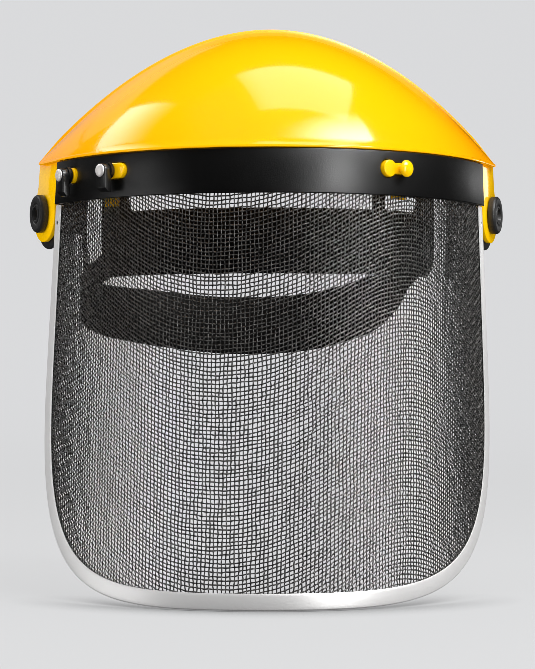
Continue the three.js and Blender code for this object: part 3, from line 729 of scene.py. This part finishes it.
def on_screen(s, off, z):
    """Points on the screen's own surface, which spreads and leans below the band."""
    down = np.maximum(0, (BAND_BOTTOM - np.asarray(z, float)) / (BAND_BOTTOM - TRIM_BOTTOM))
    points = on_visor(s, off, z, 1 - SCREEN_SPREAD * down)
    points[..., 0] += SCREEN_LEAN * down
    return points


def outline_z(s, inset):
    """The height of the screen's rounded lower outline at s."""
    s = np.asarray(s, float)
    across = np.where(s < 0, CORNER_LEFT[0], CORNER_RIGHT[0])
    up = np.where(s < 0, CORNER_LEFT[1], CORNER_RIGHT[1])
    share = np.clip((np.abs(s) - (TRIM_HALF - inset - across)) / across, 0, 1)
    return TRIM_BOTTOM + inset + up * (1 - (1 - share ** CORNER_POWER) ** (1 / CORNER_POWER))


SCREEN_INSET = TRIM_FOLD + 2 * GAP
half_screen = TRIM_HALF - SCREEN_INSET
right_s = [0.0]
while right_s[-1] < half_screen:
    right_s.append(right_s[-1] + np.interp(right_s[-1], *zip(*SPACINGS)))
left_s = [0.0]
while left_s[-1] > -half_screen:
    left_s.append(left_s[-1] - np.interp(left_s[-1], *zip(*SPACINGS)))
column_s = np.array(left_s[-2:0:-1] + right_s[:-1])
columns = np.arange(len(column_s)) - len(left_s) + 2
climb_at = np.linspace(CLIMBS[0][0], CLIMBS[-1][0], 621)
climb_height = np.cumsum(np.interp(climb_at, *zip(*CLIMBS))) * (climb_at[1] - climb_at[0])
jitter = np.random.default_rng(7).normal(size=(2, 160, 160))


def climb(s):
    """How far a cross wire has risen at s."""
    return np.interp(s, climb_at, climb_height - np.interp(0, climb_at, climb_height))


def wander(column, row, wide, high, layer):
    """Even noise at crossings, whose spots are so many wires wide and high."""
    return np.array([noise.noise((c / wide, r / high, layer)) for c, r in zip(column, row)])


def crossing(column, row):
    """Where two wires cross, as s and z: no wire lies quite true."""
    s = np.interp(column, columns, column_s)
    z = row * CROSS_PITCH + climb(s)
    loose = JITTER * jitter[:, column % jitter.shape[1], row % jitter.shape[2]]
    s = s + SHIFT * wander(column, row, 3, 9, 40) + loose[0]
    return s, z + DRIFT * wander(column, row, 7, 3.5, 0) + loose[1]


def woven_run(column, row, over):
    """A wire through its crossings, in front of the sheet where over says so: its points, its outward
    directions and its radii."""
    s, z = crossing(column, row)
    lift = np.where(over, WEAVE_LIFT, -WEAVE_LIFT)
    outs = on_screen(s, SCREEN_OFF + 1, z) - on_screen(s, SCREEN_OFF, z)
    return on_screen(s, SCREEN_OFF + lift, z), outs, np.interp(s, *zip(*WIRE_RADII))[:, None]


def wires(runs):
    """Thin four-sided tubes through runs, each of points, outward directions and radii."""
    vertices, faces = [], []
    total = 0
    for points, outs, radius in runs:
        across = units(np.cross(units(np.gradient(points, axis=0)), outs))
        count = len(points)
        sides = (across * radius, outs * WIRE_DEEP, -across * radius, -outs * WIRE_DEEP)
        ring = np.stack([points + side for side in sides], 1)
        vertices.append(ring.reshape(-1, 3))
        at = total + 4 * np.arange(count - 1)[:, None]
        j = np.arange(4)[None, :]
        k = (j + 1) % 4
        quads = np.stack([at + j, at + k, at + 4 + k, at + 4 + j], -1).reshape(-1, 4)
        last = total + 4 * (count - 1)
        ends = np.array([[total + 3, total + 2, total + 1, total], [last, last + 1, last + 2, last + 3]])
        faces.append(np.concatenate([quads, ends]))
        total += 4 * count
    return np.concatenate(vertices), np.concatenate(faces)


def wire_piece(name, runs, finish):
    """One object, in metres, of all the wires that run one way."""
    vertices, faces = wires(runs)
    mesh = bpy.data.meshes.new(name)
    mesh.from_pydata((vertices * MM).tolist(), [], faces.tolist())
    mesh.materials.append(finish.material)
    mesh.shade_smooth()
    return added(name, mesh)


# an upright wire runs from the trim up behind the band, and a cross wire wherever it lies within the trim
column_top = np.where(np.abs(column_s) < BAND_HALF - 4, SCREEN_TOP, BAND_BOTTOM - GAP)
column_low = outline_z(column_s, SCREEN_INSET)
upright_runs = []
for column, s, top, low in zip(columns, column_s, column_top, column_low):
    first = math.ceil((low - climb(s)) / CROSS_PITCH)
    last = math.floor((top - climb(s)) / CROSS_PITCH)
    rows = np.arange(first, last + 1)
    if len(rows) >= SHORTEST:
        upright_runs.append(woven_run(np.full(len(rows), column), rows, (rows + column) % 2 == 0))

cross_runs = []
tallest = float(np.abs(climb(climb_at)).max())
lowest = math.floor((TRIM_BOTTOM - tallest) / CROSS_PITCH)
highest = math.ceil((SCREEN_TOP + tallest) / CROSS_PITCH)
for row in range(lowest, highest + 1):
    z = row * CROSS_PITCH + climb(column_s)
    kept = (z >= column_low) & (z <= column_top)
    edges = np.flatnonzero(np.diff(np.concatenate([[0], kept.astype(int), [0]])))
    for start, end in zip(edges[::2], edges[1::2]):
        if end - start >= SHORTEST:
            part = columns[start:end]
            cross_runs.append(woven_run(part, np.full(len(part), row), (part + row) % 2 == 1))

# painted highlight and shade: the cross wires are painted lighter than the upright wires, as if they catch
# more of the light; the worn patches on both are random
for name, runs, dark, light in (
    ("screen_upright_wires", upright_runs, (0.04, 0.039, 0.038, 1), (0.26, 0.252, 0.244, 1)),
    ("screen_cross_wires", cross_runs, (0.06, 0.058, 0.056, 1), (0.40, 0.388, 0.375, 1)),
):
    wire = Finish(name.replace("wires", "wire"), Metallic=0.85, Specular_IOR_Level=0.5)
    worn = (wire.noise(900.0, 2.0) - 0.36) * 3.2
    wire.varies(
        Base_Color=wire.blend(worn, dark, light),
        Roughness=0.26 + wire.noise(600.0, 2.0) * 0.18,
        Normal=wire.relief(wire.noise(3000.0, 2.0), 0.00004),
    )
    fit(wire_piece(name, runs, wire), "visor", "mesh_screen")


# ------------------------------------------------ edge trim
# A satin aluminium strip folded over the screen's edge and rolled tight, with a small crimp near each upper
# end that keeps it on the wire.

TRIM_WIDTH = 8
TRIM_THICK = 2.4
TRIM_WALL = 0.5
TRIM_CROWN = 0.16  # how far the walls bulge
TRIM_EDGE_R = 0.75
CRIMP_Z = 11.6


def trim_side(side):
    """Half of the trim's outer edge, from the middle of the bottom to its upper end, as (distance, z)."""
    across, up = CORNER_LEFT if side < 0 else CORNER_RIGHT
    level = TRIM_HALF - across
    power = 2 / CORNER_POWER
    bend = [
        (level + across * math.sin(a) ** power, TRIM_BOTTOM + up * (1 - math.cos(a) ** power))
        for a in np.linspace(0, math.pi / 2, 91)[1:]
    ]
    bottom_s = np.linspace(0, bend[0][0], 24)[:-1]
    bottom = list(zip(bottom_s, outline_z(side * bottom_s, 0)))
    upright = [(TRIM_HALF, z) for z in np.linspace(TRIM_BOTTOM + up, BAND_BOTTOM - GAP, 10)[1:]]
    return bottom + bend + upright


# the folded channel's section, as (inwards from its outer edge, off)
half_trim = TRIM_THICK / 2
flat_off = half_trim - TRIM_CROWN
fold = arc_points(TRIM_EDGE_R, TRIM_EDGE_R - flat_off, -TRIM_EDGE_R, -TRIM_EDGE_R, math.pi / 2, 0, 5)
bulge = [
    (i, flat_off + TRIM_CROWN * math.sin(math.pi * (i - TRIM_EDGE_R) / (TRIM_WIDTH - TRIM_EDGE_R)))
    for i in np.linspace(TRIM_EDGE_R, TRIM_WIDTH - 0.3, 7)[1:]
]
trim_section = fold + [(i, -o) for i, o in fold[::-1]] + bulge
trim_section += [(TRIM_WIDTH, flat_off - 0.15), (TRIM_WIDTH, half_trim - TRIM_WALL)]
trim_section += [(TRIM_FOLD, half_trim - TRIM_WALL), (TRIM_FOLD, TRIM_WALL - half_trim)]
trim_section += [(TRIM_WIDTH, TRIM_WALL - half_trim), (TRIM_WIDTH, 0.15 - flat_off)]
trim_section = np.array(trim_section + [(i, -o) for i, o in bulge[::-1]])

trim_path = [(-s, z) for s, z in trim_side(-1)][::-1] + trim_side(1)[1:]
trim_rings = []
for i, (s, z) in enumerate(trim_path):
    before = trim_path[max(i - 1, 0)]
    after = trim_path[min(i + 1, len(trim_path) - 1)]
    along = np.array([after[0] - before[0], after[1] - before[1]])
    along /= np.linalg.norm(along)
    inwards, off = trim_section.T
    trim_rings.append(on_screen(s - along[1] * inwards, SCREEN_OFF + off, z + along[0] * inwards))

trim_aluminium = Finish("trim_aluminium", Metallic=0.55, Specular_IOR_Level=0.5)
rolled = trim_aluminium.noise(840.0, 6.0)
tarnish = trim_aluminium.noise(26.0, 4.0)
trim_aluminium.varies(
    Base_Color=trim_aluminium.blend(tarnish, (0.86, 0.85, 0.84, 1), (0.94, 0.93, 0.92, 1)),
    Roughness=0.30 + rolled * 0.16,
    Normal=trim_aluminium.relief(rolled, 0.00003),
)
trim = piece("edge_trim_strip", [sweep_of(trim_rings)], trim_aluminium, 40)


def crimp(s):
    """A round dent in the strip's outer wall."""
    dent = [(0, -0.45), (0.5, -0.38), (0.85, -0.15), (1.05, 0.1), (1.3, 1.0), (0, 1.0)]
    at_wall = visor_frame(s, CRIMP_Z) @ Matrix.Translation((0, 0, SCREEN_OFF + half_trim))
    return turned_of(dent, 24, at_wall)


cut(trim, crimp(TRIM_WIDTH / 2 - TRIM_HALF), crimp(TRIM_HALF - TRIM_WIDTH / 2))
smooth(trim.data, 40)
fit(trim, "visor", "edge_trim")


# --------------------------------------------- turn latches
# Two glossy black levers, each a bar on a round collar with a stepped foot, turned down to clamp the band.
# Each turns on a steel rivet whose domed head shows outside.

LEVER_IN = 3.6
LEVER_OUT = 7.2
LEVER_WIDTH = 6.4
LEVER_DROP = 10.4
FOOT_DROP = 5.8  # from here down the lever is its foot
FOOT_DEEPER = 0.4
TOE_CHAMFER = 2.1
COLLAR_R = 4.05
RIVET_R = 3.1
RIVET_DOME = 1.1
TAIL_R = 2.4
TAIL_THICK = 0.9
SHANK_R = 1.2
SHANK_HOLE_R = 1.5


def bare_plate(outline, low, high, matrix=None):
    """A flat outline with sharp edges, from low to high along its own +Z."""
    return sweep_of([[(x, y, z) for x, y in outline] for z in (low, high)], matrix)


def rod_of(radius, low, high, matrix=None):
    """A round rod along its own +Z."""
    return turned_of([(0, low), (radius, low), (radius, high), (0, high)], 48, matrix)


def rounded(made, width, angle=35):
    """The piece with its edges rounded, in millimetres, where they turn by more than the angle."""
    modifier = made.modifiers.new("edges", "BEVEL")
    modifier.width = width * MM
    modifier.segments = 3
    modifier.limit_method = "ANGLE"
    modifier.angle_limit = math.radians(angle)
    take_shape(made)
    smooth(made.data, 40)


latch_black = Finish("latch_black", Specular_IOR_Level=0.5, Coat_Weight=0.5, Coat_Roughness=0.08)
cloudy = latch_black.noise(160.0, 4.0)
latch_black.varies(
    Base_Color=latch_black.blend(cloudy, (0.004, 0.004, 0.004, 1), (0.009, 0.009, 0.009, 1)),
    Roughness=0.28 + latch_black.noise(420.0, 3.0) * 0.14,
    Normal=latch_black.relief(latch_black.noise(1600.0, 2.0), 0.00003),
)
rivet_steel = Finish("rivet_steel", Metallic=0.6, Specular_IOR_Level=0.5)
tarnish = rivet_steel.noise(300.0, 3.0)
rivet_steel.varies(
    Base_Color=rivet_steel.blend(tarnish, (0.86, 0.82, 0.80, 1), (0.95, 0.92, 0.90, 1)),
    Roughness=0.32 + rivet_steel.noise(900.0, 3.0) * 0.18,
    Normal=rivet_steel.relief(rivet_steel.noise(1500.0, 2.0), 0.00002),
)

# a lever is what its front outline, as (across, up), and its side outline, as (out, up), have in common
half_lever = LEVER_WIDTH / 2
lever_front = arc_points(0, 0, half_lever + 0.1, half_lever + 0.1, 0, math.pi, 25)
lever_front += [(-half_lever, -LEVER_DROP), (half_lever, -LEVER_DROP)]
lever_side = [
    (LEVER_IN, half_lever + 1),
    (LEVER_IN, 0.6 - FOOT_DROP),
    (LEVER_IN - FOOT_DEEPER, -FOOT_DROP),
    (LEVER_IN - FOOT_DEEPER, -LEVER_DROP),
    (LEVER_OUT - TOE_CHAMFER, -LEVER_DROP),
    (LEVER_OUT, TOE_CHAMFER - LEVER_DROP),
    (LEVER_OUT, half_lever + 1),
]
collar_profile = [
    (0, PAD_OUT + GAP),
    (COLLAR_R - 0.3, PAD_OUT + GAP),
    (COLLAR_R, PAD_OUT + GAP + 0.3),
    (COLLAR_R, LEVER_IN + 0.1),
    (0, LEVER_IN + 0.1),
]
behind_wall = WALL_OFF - WALL_THICK - GAP
rivet_profile = [
    (0, behind_wall - TAIL_THICK),
    (TAIL_R - 0.2, behind_wall - TAIL_THICK),
    (TAIL_R, behind_wall),
    (SHANK_R, behind_wall),
    (SHANK_R, LEVER_OUT + 0.2),
    (RIVET_R - 0.2, LEVER_OUT + 0.2),
    (RIVET_R, LEVER_OUT + 0.4),
    *arc_points(0, LEVER_OUT + 0.6, RIVET_R, RIVET_DOME, 0.1, math.pi / 2, 10),
]
side_face = Matrix(((0, 0, -1, 0), (0, 1, 0, 0), (1, 0, 0, 0), (0, 0, 0, 1)))

for name, s in (("latch_front", LATCH_FRONT_S), ("latch_rear", LATCH_REAR_S)):
    lever = piece(name + "_lever", [bare_plate(lever_front, 0, LEVER_OUT)], latch_black)
    shape_with(lever, bare_plate(lever_side, -half_lever - 1, half_lever + 1, side_face), "INTERSECT")
    rounded(lever, 0.38)
    shape_with(lever, turned_of(collar_profile, 64), "UNION")
    cut(lever, rod_of(SHANK_HOLE_R, WALL_OFF, LEVER_OUT + 1))
    smooth(lever.data, 40)
    place = visor_frame(s, CATCH_Z)
    head = turned_of(rivet_profile, 48, place)
    place.translation *= MM
    lever.data.transform(place)
    lever.data.materials.clear()
    lever.data.materials.append(latch_black.material)
    fit(lever, name, name)
    fit(piece(name + "_rivet_head", [head], rivet_steel), "visor", name + "_rivet")


# ------------------------------------------ knobs and discs
# On each lobe a black knob outside and a larger friction disc inside squeeze the arm, so that the visor stays
# at the angle it is set to. Both are moulded, with rounded rims and a raised ring round the knob's hole.

DISC_R = 17.8
DISC_THICK = 2
KNOB_R = 9.6
KNOB_THICK = 3.85
KNOB_HOLE_R = 3.3
KNOB_ROUND = 1.5
# the raised ring and the groove about the hole, as (outwards from the hole, down from the top)
KNOB_RING = [(2.5, 0.05), (2.1, 0.2), (1.8, 0.55), (1.5, 0.55), (1.2, 0.15), (0.5, 0.1), (0.1, 0.5)]
PIN_HOLE_R = 3
PIVOT = Vector(on_visor(PIVOT_S, ARM_OFF - ARM_THICK / 2, PIVOT_Z))
ALONG_X = Matrix.Translation((0, PIVOT.y, PIVOT.z)) @ Matrix.Rotation(math.pi / 2, 4, "Y")

knob_black = Finish("knob_black", Specular_IOR_Level=0.5)
cloudy = knob_black.noise(120.0, 4.0)
knob_black.varies(
    Base_Color=knob_black.blend(cloudy, (0.013, 0.013, 0.0135, 1), (0.021, 0.021, 0.0215, 1)),
    Roughness=0.36 + knob_black.noise(400.0, 4.0) * 0.14,
    Normal=knob_black.relief(knob_black.noise(1800.0, 2.0), 0.00006),
)

knob_low = ARM_OFF + GAP
knob_top = knob_low + KNOB_THICK
knob_profile = [
    (0, knob_low),
    (KNOB_R - 0.6, knob_low),
    (KNOB_R - 0.15, knob_low + 0.15),
    (KNOB_R, knob_low + 0.6),
    *arc_points(KNOB_R - KNOB_ROUND, knob_top - KNOB_ROUND, KNOB_ROUND, KNOB_ROUND, 0, math.pi / 2, 8),
    *((KNOB_HOLE_R + out, knob_top - down) for out, down in KNOB_RING),
    (0, knob_top - 0.5),
]
disc_top = ARM_OFF - ARM_THICK - GAP
disc_low = disc_top - DISC_THICK
disc_profile = [
    (0, disc_low),
    (DISC_R - 0.7, disc_low),
    (DISC_R - 0.2, disc_low + 0.2),
    (DISC_R, disc_low + 0.7),
    (DISC_R, disc_top - 0.7),
    (DISC_R - 0.2, disc_top - 0.2),
    (DISC_R - 0.7, disc_top),
    (0, disc_top),
]


def mirror_of(made, name):
    """A new piece, the mirror image of one made for the right side."""
    mirror_mesh = made.data.copy()
    mirror_mesh.transform(MIRROR)
    mirror_mesh.flip_normals()
    return added(name, mirror_mesh)


for part, profile, hole in (("knob", knob_profile, KNOB_HOLE_R), ("disc", disc_profile, PIN_HOLE_R)):
    turned = turned_of(profile, 96, visor_frame(PIVOT_S, PIVOT_Z))
    right = piece("pivot_" + part + "_right_turned", [turned], knob_black)
    cut(right, rod_of(hole, PIVOT.x - 20, PIVOT.x + 20, ALONG_X))
    smooth(right.data, 40)
    left = mirror_of(right, "pivot_" + part + "_left_turned")
    fit(right, "visor", "pivot_" + part + "_right")
    fit(left, "visor", "pivot_" + part + "_left")


# --------------------------------------------- head harness
# Black moulded straps: a wide forehead band with a raised end at each side and a narrow upright tab, a nape
# strap round the back, and a hooked bracket at each side whose boss and pin carry the visor.

RING_HALF = 82
RING_FRONT = 73  # from the widest place to the front
RING_WIDEST_Y = -21
RING_END_Y = 4
FOREHEAD_THICK = 2.4
FOREHEAD_HALF_HIGH = 15.75
FOREHEAD_SIDE_TOP = 32
FOREHEAD_SIDE_X = (70, 74)  # where the band rises to its sides
FOREHEAD_RIGHT_BOTTOM = -10
FOREHEAD_RIGHT_X = 76  # where the band's right end begins to narrow
UPRIGHT_X = 50
UPRIGHT_HALF = (3.65, 8)  # across and up
NAPE_THICK = 2
BRACKET_INNER_X = 82.8
BRACKET_OUTER_X = 94.2
BRACKET_THICK = 1.7
BRACKET_TOP = 31
BRACKET_BOTTOM = -15
BRACKET_INNER_BOTTOM = -5
BRACKET_WIDE = 16
BOSS_R = 10
PIN_R = 2.6
# the strap's middle line, as x, y and z, and its height there
NAPE = [
    (-84.2, -2, -9.75, 13.5),
    (-88.5, 6, -13.25, 15),
    (-93.3, 16, -19.5, 19),
    (-95.5, 30, -24.5, 22),
    (-88, 54, -29, 27),
    (-58, 83, -33.5, 30.5),
    (-14, 93.65, -37.5, 31.5),
    (28, 86, -35.5, 31.5),
    (58, 60, -27, 31),
    (66.5, 45, -22.5, 25.5),
    (71.8, 33, -16.5, 23),
    (75, 26, -11.5, 17.5),
    (80.5, 16, -5, 15),
    (84.2, 5, -0.5, 12.5),
    (84.2, -2, 0, 12.5),
]

harness_black = Finish("harness_black", Specular_IOR_Level=0.12)
cloudy = harness_black.noise(60.0, 5.0)
harness_black.varies(
    Base_Color=harness_black.blend(cloudy, (0.0018, 0.0018, 0.0018, 1), (0.004, 0.004, 0.004, 1)),
    Roughness=0.48 + harness_black.noise(200.0, 4.0) * 0.14,
    Normal=harness_black.relief(harness_black.noise(1500.0, 2.0), 0.00007),
)

# the ring's front half is half an ellipse with short straight ends, as x, y and the outward direction
half_way_y = (RING_END_Y + RING_WIDEST_Y) / 2
ring_line = [(-RING_HALF, RING_END_Y, -1.0, 0.0), (-RING_HALF, half_way_y, -1.0, 0.0)]
for a in np.linspace(-math.pi / 2, math.pi / 2, 97):
    x, y = RING_HALF * math.sin(a), RING_WIDEST_Y - RING_FRONT * math.cos(a)
    out_x, out_y = RING_FRONT * math.sin(a), -RING_HALF * math.cos(a)
    length = math.hypot(out_x, out_y)
    ring_line.append((x, y, out_x / length, out_y / length))
ring_line += [(RING_HALF, half_way_y, 1.0, 0.0), (RING_HALF, RING_END_Y, 1.0, 0.0)]
raised = FOREHEAD_SIDE_TOP - FOREHEAD_HALF_HIGH
narrowed = FOREHEAD_RIGHT_BOTTOM + FOREHEAD_HALF_HIGH
forehead_rings = []
for x, y, out_x, out_y in ring_line:
    top = FOREHEAD_HALF_HIGH + raised * smooth_step(*FOREHEAD_SIDE_X, abs(x))
    bottom = -FOREHEAD_HALF_HIGH + narrowed * smooth_step(FOREHEAD_RIGHT_X, RING_HALF, x)
    section = rounded_bar(-FOREHEAD_THICK / 2, FOREHEAD_THICK / 2, bottom, top, 0.8)
    forehead_rings.append([(x + out_x * off, y + out_y * off, z) for off, z in section])

a = math.asin(UPRIGHT_X / RING_HALF)
upright_turn = math.atan2(RING_FRONT * math.sin(a), RING_HALF * math.cos(a))
upright_y = RING_WIDEST_Y - RING_FRONT * math.cos(a)
upright_place = Matrix.Translation((UPRIGHT_X, upright_y, FOREHEAD_HALF_HIGH + 6))
upright_place = upright_place @ Matrix.Rotation(upright_turn, 4, "Z") @ Matrix.Rotation(math.pi / 2, 4, "X")
across, up = UPRIGHT_HALF
upright_outline = [(-across, -up), (across, -up), (across, up), (-across, up)]
half_thick = FOREHEAD_THICK / 2 - 0.2
upright_tab = plate_of(upright_outline, -half_thick, half_thick, 0.4, upright_place)
forehead = piece("forehead_band_strap", [sweep_of(forehead_rings), upright_tab], harness_black)
fit(forehead, "harness", "forehead_band")


def smooth_through(points, count):
    """Points on a centripetal curve through the given points, with its row at each."""
    points = [Vector(p) for p in points]
    points = [points[0] * 2 - points[1], *points, points[-1] * 2 - points[-2]]
    made = []
    for share in np.linspace(0, 1, count):
        row = share * (len(points) - 3)
        i = min(int(row), len(points) - 4)
        t = row - i
        p0, p1, p2, p3 = points[i:i + 4]
        d0, d1, d2 = (max(1e-6, (b - a).length ** 0.5) for a, b in ((p0, p1), (p1, p2), (p2, p3)))
        m1 = ((p1 - p0) / d0 - (p2 - p0) / (d0 + d1) + (p2 - p1) / d1) * d1
        m2 = ((p2 - p1) / d1 - (p3 - p1) / (d1 + d2) + (p3 - p2) / d2) * d1
        a, b = 2 * t ** 3 - 3 * t ** 2, t ** 3 - 2 * t ** 2 + t
        made.append((p1 * (1 + a) + m1 * b + p2 * (-a) + m2 * (t ** 3 - t ** 2), row))
    return made


nape_line = smooth_through([row[:3] for row in NAPE], 161)
nape_rings = []
for i, (middle, row) in enumerate(nape_line):
    along = nape_line[min(i + 1, len(nape_line) - 1)][0] - nape_line[max(i - 1, 0)][0]
    out = Vector((-along.y, along.x, 0)).normalized()
    high = float(np.interp(row, range(len(NAPE)), [r[3] for r in NAPE])) / 2
    section = rounded_bar(-NAPE_THICK / 2, NAPE_THICK / 2, -high, high, 0.7)
    nape_rings.append([tuple(middle + out * off + Vector((0, 0, z))) for off, z in section])
nape = piece("nape_strap_band", [sweep_of(nape_rings)], harness_black)
fit(nape, "harness", "nape_strap")

bracket_outline = [
    (BRACKET_INNER_X, BRACKET_INNER_BOTTOM),
    (BRACKET_INNER_X + BRACKET_THICK, BRACKET_INNER_BOTTOM),
    (BRACKET_INNER_X + BRACKET_THICK, BRACKET_TOP - BRACKET_THICK),
    (BRACKET_OUTER_X - BRACKET_THICK, BRACKET_TOP - BRACKET_THICK),
    (BRACKET_OUTER_X - BRACKET_THICK, BRACKET_BOTTOM),
    (BRACKET_OUTER_X, BRACKET_BOTTOM),
    *arc_points(BRACKET_OUTER_X - 3, BRACKET_TOP - 3, 3, 3, 0, math.pi / 2, 9),
    *arc_points(BRACKET_INNER_X + 3, BRACKET_TOP - 3, 3, 3, math.pi / 2, math.pi, 9),
]
# the boss's end leans as the disc's inner face does, and a little more, so that it stays clear of it
pivot_turn = float(plan(PIVOT_S)[2])
lean = 1.04 / math.tan(pivot_turn)
disc_face = PIVOT.x - (DISC_THICK + GAP + ARM_THICK / 2) / math.sin(pivot_turn) - 0.4
boss_profile = [
    (0, BRACKET_OUTER_X - 1),
    (BOSS_R, BRACKET_OUTER_X - 1),
    (BOSS_R, disc_face - BOSS_R * lean - 0.4),
    (BOSS_R - 0.4, disc_face - (BOSS_R - 0.4) * lean),
    (PIN_R, disc_face - PIN_R * lean),
    (PIN_R, PIVOT.x + 1.6),
    (PIN_R - 0.4, PIVOT.x + 2),
    (0, PIVOT.x + 2),
]
bracket_place = Matrix.Translation((0, PIVOT.y, 0)) @ Matrix.Rotation(math.pi / 2, 4, "X")
bracket_right = piece(
    "side_bracket_right_hook",
    [bare_plate(bracket_outline, -BRACKET_WIDE / 2, BRACKET_WIDE / 2, bracket_place)],
    harness_black,
)
rounded(bracket_right, 0.5, 50)
shape_with(bracket_right, turned_of(boss_profile, 64, ALONG_X), "UNION")
smooth(bracket_right.data, 40)
bracket_left = mirror_of(bracket_right, "side_bracket_left_hook")
fit(bracket_right, "harness", "side_bracket_right")
fit(bracket_left, "harness", "side_bracket_left")
